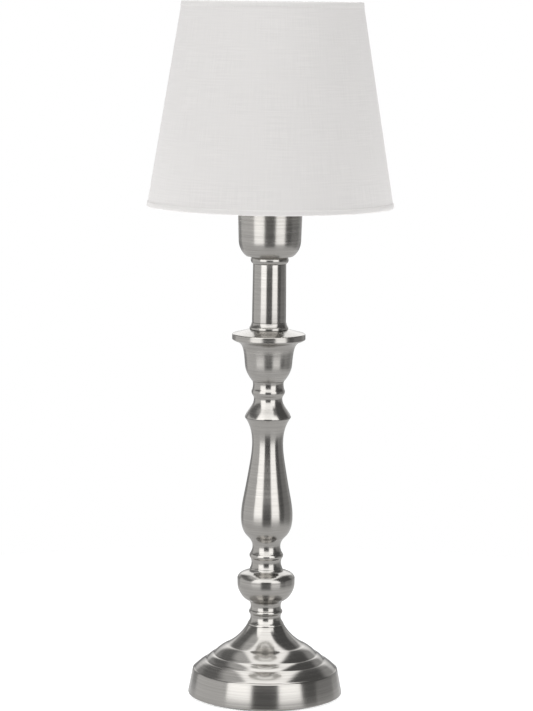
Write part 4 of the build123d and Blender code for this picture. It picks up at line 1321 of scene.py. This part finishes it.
@dataclass
class Lampholder:
    """The lampholder in its cup, and the ring that screws on it over the shade's fitter."""

    edge: float = 0.3 * MM
    segments: int = 128
    thread_pitch: float = 2.5 * MM
    thread_depth: float = 1.0 * MM
    thread_size: float = 0.62 * MM      # the radius of the thread's round section
    ring_edge: float = 0.5 * MM
    ring_segments: int = 144
    flange: float = 2.0 * MM
    grips: int = 18
    grip_radius: float = 1.2 * MM
    grip_gap: float = 0.6 * MM          # how far a grip stops short of the ring's top

    def build(self) -> None:
        """Builds the lampholder's cap, skirt, ring and inner parts."""
        TurnedPieces(Body.BASE, WHITE_PLASTIC, ("lampholder_cap",), self.edge).build()
        dressed(self.skirt(), WHITE_PLASTIC, Body.BASE, "lampholder_skirt")
        dressed(self.ring(), WHITE_PLASTIC, Body.RING, "shade_ring")
        painted(PORCELAIN, "contact_block")
        painted(BRASS, "terminal_screws", "screw_shell", "centre_contact", "side_contact")

    def skirt(self) -> bpy.types.Object:
        """Makes the holder's skirt, with a helix in place of the ridges above its flange.

        Returns:
            The skirt.
        """
        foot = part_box("fitter_ring")[0].z
        section = Section.of_node("lampholder_skirt")
        crest = max(radius for radius, height in section.points if height > foot)
        core = crest - self.thread_depth
        plain = tuple(
            (core if core < radius < crest + POLE and height > foot else radius, height)
            for radius, height in section.points
        )
        body = turned("skirt_body", Section(plain, True).simplified().rounded(self.edge), self.segments)
        start = foot + self.thread_pitch / 2
        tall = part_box("lampholder_skirt")[1].z - start - self.thread_pitch / 2
        thread = thread_rule().piece(
            "skirt_thread",
            WHITE_PLASTIC,
            {
                "Turns": tall / self.thread_pitch, "Radius": crest - self.thread_size, "Start": start,
                "Tall": tall, "Thickness": self.thread_size,
            },
        )
        return joined("threaded_skirt", [body, thread])

    def ring(self) -> bpy.types.Object:
        """Makes the shade ring: a flange, a collar and the grips round the collar.

        Returns:
            The ring.
        """
        low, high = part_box("shade_ring")
        section = Section.of_node("shade_ring")
        bore = min(radius for radius, _ in section.points)
        collar = max(radius for radius, height in section.points if height > high.z - POLE) - self.grip_radius
        step = low.z + self.flange
        outline = (
            (bore, low.z), (high.x, low.z), (high.x, step), (collar, step), (collar, high.z), (bore, high.z),
        )
        body = turned("ring_body", Section(outline, True).rounded(self.ring_edge), self.ring_segments)
        tall = high.z - step - self.grip_gap
        grips = grips_rule().piece(
            "ring_grips",
            WHITE_PLASTIC,
            {
                "Count": self.grips, "Radius": collar, "Height": step + tall / 2, "Tall": tall,
                "Grip Radius": self.grip_radius,
            },
        )
        return joined("gripped_shade_ring", [body, grips])


@dataclass
class Bulb:
    """The bulb: opal glass on a rolled screw cap, with its contact, stem and filament."""

    glass_edge: float = 0.3 * MM
    tip_edge: float = 0.4 * MM
    cap_edge: float = 0.3 * MM
    cap_wall: float = 0.4 * MM
    cap_shoulder: float = 2.6 * MM      # the height in which the cap widens to its collar
    pitch: float = 3.63 * MM
    thread_size: float = 0.95 * MM      # the radius of the thread's round section
    segments: int = 144
    tip_segments: int = 96

    def build(self) -> None:
        """Builds the bulb's pieces."""
        TurnedPieces(Body.BULB, OPAL_GLASS, ("bulb_glass",), self.glass_edge, self.segments).build()
        TurnedPieces(Body.BULB, BLACK_GLASS, ("bulb_insulator",), self.tip_edge, self.tip_segments).build()
        TurnedPieces(Body.TIP, SOLDER, ("bulb_contact",), self.tip_edge, self.tip_segments).build()
        dressed(self.cap(), BULB_ALUMINIUM, Body.BULB, "bulb_cap")
        painted(STEM_GLASS, "bulb_stem")
        painted(TUNGSTEN, "bulb_filament")

    def cap(self) -> bpy.types.Object:
        """Makes the cap: a plain sleeve with the thread rolled round it as one helix.

        Returns:
            The cap.
        """
        points = Section.of_node("bulb_cap").points
        low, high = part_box("bulb_cap")
        thread_top = max(height for radius, height in points if abs(radius - high.x) > MM) - self.pitch
        core = max(radius for radius, height in points if height < thread_top) - self.thread_size
        collar = min(height for radius, height in points if radius > high.x - POLE)
        neck = collar - self.cap_shoulder
        outline = (
            (core - self.cap_wall, low.z), (core, low.z), (core, neck), (high.x, collar), (high.x, high.z),
            (high.x - self.cap_wall, high.z), (high.x - self.cap_wall, collar), (core - self.cap_wall, neck),
        )
        body = turned("cap_body", Section(outline, True).rounded(self.cap_edge), self.segments)
        tall = neck - low.z - 2 * self.thread_size
        thread = thread_rule().piece(
            "cap_thread",
            BULB_ALUMINIUM,
            {
                "Turns": tall / self.pitch, "Radius": core, "Start": low.z + self.thread_size, "Tall": tall,
                "Thickness": self.thread_size,
            },
        )
        return joined("threaded_bulb_cap", [body, thread])


@dataclass
class Shade:
    """The tapered linen shade: cloth, liner, rolled hems, wire hoops, fitter ring and arms."""

    cloth_thickness: float = 0.55 * MM
    liner_thickness: float = 0.35 * MM
    lap_width: float = 11 * MM
    lap_rise: float = 0.25 * MM
    hem_roll: float = 1.9 * MM
    hem_press: float = 0.6              # the glued roll lies flatter than it was wound
    hem_squareness: float = 1.9
    hem_waviness: float = 0.22 * MM
    hem_sides: int = 25
    wire: float = 3.0 * MM
    ring_edge: float = 0.4 * MM
    ring_segments: int = 128
    arm_wire: float = 1.4 * MM          # the radius of an arm
    arm_count: int = 3
    arm_overlap: float = 0.9 * MM       # how far an arm's end goes into the fitter ring
    level_reach: float = 78.5 * MM      # the radius at which an arm bends down

    def build(self) -> None:
        """Builds the shade's pieces."""
        wound, rolled = tapered_cloth_rule(), rolled_edge_rule()
        cloth = self.cloth(wound, "linen_cloth", "shade_fabric", LINEN, self.cloth_thickness, self.lap_rise)
        self.cloth(wound, "shade_lining", "shade_liner", LINER, self.liner_thickness, 0.0)
        hems = [
            self.hem(rolled, "rolled_bottom_hem", "bottom_hem"),
            self.hem(rolled, "rolled_top_hem", "top_hem"),
        ]
        self.hoop(rolled, "bottom_hoop", "bottom_wire")
        self.hoop(rolled, "top_hoop", "top_wire")
        TurnedPieces(Body.SHADE, WHITE_ENAMEL, ("fitter_ring",), self.ring_edge, self.ring_segments).build()
        self.arms()

    def upper_radius(self, node: str) -> float:
        """The outer radius of a tapered node at its top."""
        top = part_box(node)[1].z
        return max(v.co.x for v in frame["nodes"][node].data.vertices if v.co.z > top - POLE)

    def taper(self) -> float:
        """How much the shade's radius shrinks for each unit of height."""
        low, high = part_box("shade_fabric")
        return (high.x - self.upper_radius("shade_fabric")) / (high.z - low.z)

    def cloth(
        self, rule: Rule, name: str, node: str, finish: Finish, thickness: float, lap_rise: float
    ) -> bpy.types.Object:
        """Makes and dresses a wound cloth with its thickness.

        Args:
            rule: the rule that winds it.
            name: the new piece's name.
            node: the CAD node whose outer face it follows and for which it stands.
            finish: its finish.
            thickness: how thick it is.
            lap_rise: how far its glued lap stands out at the back.

        Returns:
            The closed piece.
        """
        low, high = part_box(node)
        values = {
            "Lower Radius": high.x, "Upper Radius": self.upper_radius(node), "Lower Edge": low.z,
            "Upper Edge": high.z, "Lap Width": self.lap_width, "Lap Rise": lap_rise,
        }
        piece = rule.piece(name, finish, values)
        outward(piece.data)
        solid = piece.modifiers.new("thickness", "SOLIDIFY")
        solid.thickness, solid.offset = thickness, self.inward(piece.data)
        applied(piece)
        smooth(piece.data)
        return dressed(piece, finish, Body.SHADE, node)

    @staticmethod
    def inward(mesh: bpy.types.Mesh) -> float:
        """Which way a sheet's thickness goes inwards: -1 if its faces point away from the axis."""
        face = mesh.polygons[0]
        return -1.0 if face.normal.x * face.center.x + face.normal.y * face.center.y > 0 else 1.0

    def hem(self, rule: Rule, name: str, node: str) -> bpy.types.Object:
        """Makes and dresses a hem: the cloth's edge rolled over its hoop and glued.

        Args:
            rule: the rule that rolls it.
            name: the new piece's name.
            node: the CAD node for which it stands.

        Returns:
            The hem.
        """
        first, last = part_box(node)
        low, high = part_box("shade_fabric")
        middle, taper = (first.z + last.z) / 2, self.taper()
        face = high.x - (middle - low.z) * taper
        proud = last.x - (high.x - (first.z - low.z) * taper)
        values = {
            "Radius": face + proud * self.hem_press - self.hem_roll / 2, "Height": middle,
            "Width": self.hem_roll, "Tall": last.z - first.z, "Taper": taper,
            "Squareness": self.hem_squareness, "Waviness": self.hem_waviness, "Sides": self.hem_sides,
        }
        piece = rule.piece(name, LINEN, values)
        outward(piece.data)
        smooth(piece.data)
        return dressed(piece, LINEN, Body.SHADE, node)

    def hoop(self, rule: Rule, name: str, node: str) -> None:
        """Makes and dresses a wire hoop.

        Args:
            rule: the rule that bends it.
            name: the new piece's name.
            node: the CAD node for which it stands.
        """
        first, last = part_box(node)
        values = {
            "Radius": last.x - self.wire / 2, "Height": (first.z + last.z) / 2, "Width": self.wire,
            "Tall": last.z - first.z,
        }
        piece = rule.piece(name, WHITE_ENAMEL, values)
        smooth(piece.data)
        dressed(piece, WHITE_ENAMEL, Body.SHADE, node)

    def arms(self) -> None:
        """Makes and dresses the arms from the fitter ring down to the lower hoop."""
        ring_low, ring_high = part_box("fitter_ring")
        hoop_low, hoop_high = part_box("bottom_wire")
        values = {
            "Count": self.arm_count, "Inner Radius": ring_high.x - self.arm_overlap,
            "Bend Radius": self.level_reach, "Outer Radius": hoop_high.x - self.wire / 2,
            "Upper Level": (ring_low.z + ring_high.z) / 2, "Lower Level": (hoop_low.z + hoop_high.z) / 2,
            "Wire": self.arm_wire,
        }
        piece = arms_rule().piece("fitter_arms", WHITE_ENAMEL, values)
        outward(piece.data)
        smooth(piece.data)
        nodes = [f"fitter_arm_{arm + 1}" for arm in range(self.arm_count)]
        dressed(piece, WHITE_ENAMEL, Body.SHADE, *nodes)


# ---- Studio ----------------------------------------------------------------------------------
@dataclass(frozen=True)
class Card:
    """A soft light or a black flag, as a patch of the studio that the metal mirrors. Turns are in
    degrees from the camera's side, with + to the camera's right, and rises are in degrees."""

    turn_from: float
    turn_to: float
    rise_from: float
    rise_to: float
    level: float
    soft: float


@dataclass(frozen=True)
class Panel:
    """A soft light or a flag overhead, as a patch of the ceiling: across and along it, as multiples
    of its height above the dome's middle, with + to the camera's right and away from the camera."""

    across_from: float
    across_to: float
    along_from: float
    along_to: float
    level: float
    soft: float


@dataclass(frozen=True)
class Softbox:
    """A square soft lamp that nothing mirrors: where it stands, its side and the point that it
    faces, in metres, and its power in watts."""

    name: str
    place: tuple[float, float, float]
    side: float
    power: float
    aim: tuple[float, float, float] = (0.0, 0.0, 0.3)

    def build(self) -> None:
        """Adds it to the scene."""
        light = bpy.data.lights.new(self.name, "AREA")
        light.shape, light.size, light.energy = "SQUARE", self.side, self.power
        holder = bpy.data.objects.new(self.name, light)
        holder.location = self.place
        holder.rotation_euler = (Vector(self.aim) - Vector(self.place)).to_track_quat("-Z", "Y").to_euler()
        holder.visible_glossy = False
        holder.visible_camera = False
        bpy.context.scene.collection.objects.link(holder)


@dataclass
class Studio:
    """A pale floor, soft lamps and a dome of soft lights and flags that only mirrored rays meet."""

    cards: tuple[Card, ...] = (
        Card(-60, 56, 20, 62, 1.75, 7),
        Card(-60, -18, -9, 62, 2.0, 3),
        Card(20, 57, -9, 62, 1.9, 3),
        Card(-20, 20, -24, 14, 0.13, 4),
        Card(-130, -62, -14, 24, 0.74, 3),
        Card(-150, -62, 24, 50, 0.2, 5),
        Card(-152, -130, -14, 24, 0.36, 5),
        Card(60, 150, 8, 90, 0.12, 5),
        Card(60, 86, -16, 20, 0.14, 4),
        Card(86, 128, -16, 10, 0.3, 5),
        Card(128, 152, -14, 30, 0.42, 6),
        # The two behind the lamp are laid twice each, which firms their edges.
        Card(150, 210, 4, 14, 0.72, 5),
        Card(150, 210, 4, 14, 0.72, 5),
        Card(158, 202, 14, 60, 1.5, 7),
        Card(158, 202, 14, 60, 1.5, 7),
    )
    panels: tuple[Panel, ...] = (
        Panel(0.42, 3.0, -0.6, 3.0, 0.12, 0.08),
        Panel(-2.0, -0.40, -0.3, 2.0, 0.66, 0.08),
        Panel(-0.38, 0.44, -0.9, 2.2, 1.75, 0.06),
    )
    softboxes: tuple[Softbox, ...] = (
        Softbox("left_softbox", (-1.7, -1.5, 1.0), 1.2, 13.0),
        Softbox("right_softbox", (1.6, -1.5, 1.0), 1.2, 8.0),
        Softbox("top_softbox", (0.0, -0.2, 1.9), 1.2, 7.0),
        Softbox("left_bounce", (-0.2, -0.06, 0.03), 0.15, 1.5),
        Softbox("right_bounce", (0.2, -0.06, 0.03), 0.15, 1.5),
    )
    dome_radius: float = 2.0
    dome_centre: float = 0.11
    dome_rings: int = 48
    segments: int = 96
    plain_level: float = 0.2
    floor_level: float = 0.68                               # the floor, as the metal mirrors it
    floor_edge: tuple[float, float] = (-9, -3)              # degrees: it fades out between these
    ceiling_edge: tuple[float, float] = (42, 54)            # degrees: the panels fade in
    floor_radius: float = 0.62
    floor_drop: float = 0.2 * MM                            # keeps the floor clear of the felt
    floor_colour: Colour = (0.8, 0.8, 0.8)
    floor_glow: float = 0.45
    world_level: float = 0.56

    def build(self) -> None:
        """Builds the floor, the dome, the world and the lamps."""
        bpy.context.scene.view_settings.view_transform = "Standard"
        self.floor()
        self.dome()
        self.world()
        for softbox in self.softboxes:
            softbox.build()

    def world(self) -> None:
        """White where the camera sees it, also in metal or glass, and a plain soft light elsewhere."""
        world = bpy.data.worlds.new("studio")
        world.use_nodes = True
        bpy.context.scene.world = world
        graph = Graph(world.node_tree)
        path = graph.node("ShaderNodeLightPath")
        rays = [Value(graph, path.outputs[f"Is {kind} Ray"]) for kind in ("Camera", "Glossy", "Transmission")]
        seen = graph.maths("MINIMUM", rays[0] + rays[1] + rays[2], 1.0)
        level = self.world_level + seen * (1 - self.world_level)
        back = graph.node("ShaderNodeBackground", {"Color": (1, 1, 1, 1), "Strength": level})
        graph.node("ShaderNodeOutputWorld", {"Surface": back.outputs[0]})

    def floor(self) -> None:
        """A round pale floor: matt, lit up to white where nothing shades it, and clear from below."""
        rim = ((0.0, -self.floor_drop), (self.floor_radius, -self.floor_drop))
        floor = turned("floor", Section(rim, False), self.segments)
        if floor.data.polygons[0].normal.z < 0:
            floor.data.flip_normals()
        material, graph = blank_material("floor")
        matt = graph.node("ShaderNodeBsdfDiffuse", {"Color": (*self.floor_colour, 1)})
        seen = Value(graph, graph.node("ShaderNodeLightPath").outputs["Is Camera Ray"])
        glow = graph.node("ShaderNodeEmission", {"Strength": seen * self.floor_glow})
        both = graph.node("ShaderNodeAddShader", {0: matt.outputs[0], 1: glow.outputs[0]})
        clear = graph.node("ShaderNodeBsdfTransparent")
        below = graph.node("ShaderNodeNewGeometry").outputs["Backfacing"]
        sided = graph.node("ShaderNodeMixShader", {0: below, 1: both.outputs[0], 2: clear.outputs[0]})
        graph.node("ShaderNodeOutputMaterial", {"Surface": sided.outputs[0]})
        floor.data.materials.append(material)
        floor.visible_glossy = False

    def dome(self) -> None:
        """The dome of lights and flags, which only mirrored rays meet."""
        arc = tuple(
            (self.dome_radius * math.cos(rise), self.dome_centre + self.dome_radius * math.sin(rise))
            for rise in (math.pi * (ring / self.dome_rings - 0.5) for ring in range(self.dome_rings + 1))
        )
        dome = turned("studio_dome", Section(arc, False), self.segments)
        material, graph = blank_material("studio_dome")
        place = graph.split(graph.node("ShaderNodeTexCoord").outputs["Object"])
        glow = graph.node("ShaderNodeEmission", {"Strength": self.dome_level(graph, *place)})
        graph.node("ShaderNodeOutputMaterial", {"Surface": glow.outputs[0]})
        dome.data.materials.append(material)
        for rays in ("camera", "diffuse", "transmission", "volume_scatter", "shadow"):
            setattr(dome, f"visible_{rays}", False)

    def dome_level(self, graph: Graph, x: Value, y: Value, z: Value) -> Value:
        """Lays the cards and the panels over the floor and the plain walls.

        Args:
            graph: the dome's tree.
            x: the place on the dome, to the camera's right.
            y: away from the camera.
            z: upwards.

        Returns:
            How bright the dome is there.
        """
        degrees = 360 / TURN
        turn = graph.maths("ARCTAN2", x, -y) * degrees
        rise = graph.maths("ARCSINE", (z - self.dome_centre) / self.dome_radius) * degrees
        level = self.floor_level + (self.plain_level - self.floor_level) * rise.step(*self.floor_edge)
        for card in self.cards:
            middle, half = (card.turn_from + card.turn_to) / 2, (card.turn_to - card.turn_from) / 2
            inside = self.patch(graph.maths("WRAP", turn - middle, 180.0, -180.0), -half, half, card.soft)
            inside = inside * self.patch(rise, card.rise_from, card.rise_to, card.soft)
            level = level + (card.level - level) * inside
        above = graph.maths("MAXIMUM", z - self.dome_centre, MM)
        across, along = x / above, y / above
        for panel in self.panels:
            inside = self.patch(across, panel.across_from, panel.across_to, panel.soft)
            inside = inside * self.patch(along, panel.along_from, panel.along_to, panel.soft)
            level = level + (panel.level - level) * inside * rise.step(*self.ceiling_edge)
        return level

    @staticmethod
    def patch(value: Value, start: float, end: float, soft: float) -> Value:
        """1 between start and end, with soft edges."""
        return value.step(start - soft, start + soft) * (1 - value.step(end - soft, end + soft))


@dataclass(frozen=True)
class Viewpoint:
    """The camera: where it stands in front of the lamp, in metres, and how it is turned."""

    distance: float = 2.289
    height: float = 0.5725
    aside: float = -1.7 * MM
    pitch: float = 7.3              # degrees down
    roll: float = 0.655             # degrees, so that the lamp's top leans to the right
    sensor: float = 36.0            # millimetres, for the picture's height
    lens: float = 144.56
    nearest: float = 0.05
    farthest: float = 20.0

    def build(self) -> None:
        """Sets the scene's camera."""
        data = bpy.data.cameras.new("camera")
        data.sensor_fit, data.sensor_height, data.lens = "VERTICAL", self.sensor, self.lens
        data.clip_start, data.clip_end = self.nearest, self.farthest
        camera = bpy.data.objects.new("camera", data)
        tilt = Matrix.Rotation(math.radians(90 - self.pitch), 3, "X")
        lean = Matrix.Rotation(math.radians(self.roll), 3, "Z")
        camera.rotation_euler = (tilt @ lean).to_euler()
        camera.location = (self.aside, -self.distance, self.height)
        bpy.context.scene.collection.objects.link(camera)
        bpy.context.scene.camera = camera


def main() -> None:
    """Builds the camera, the lamp's sub-assemblies and the studio."""
    logging.basicConfig(level=logging.INFO, format="%(name)s: %(message)s")
    for part in (Viewpoint(), Foot(), Stem(), Lampholder(), Bulb(), Shade(), Studio()):
        part.build()
    bpy.context.view_layer.update()


if __name__ == "__main__":
    main()
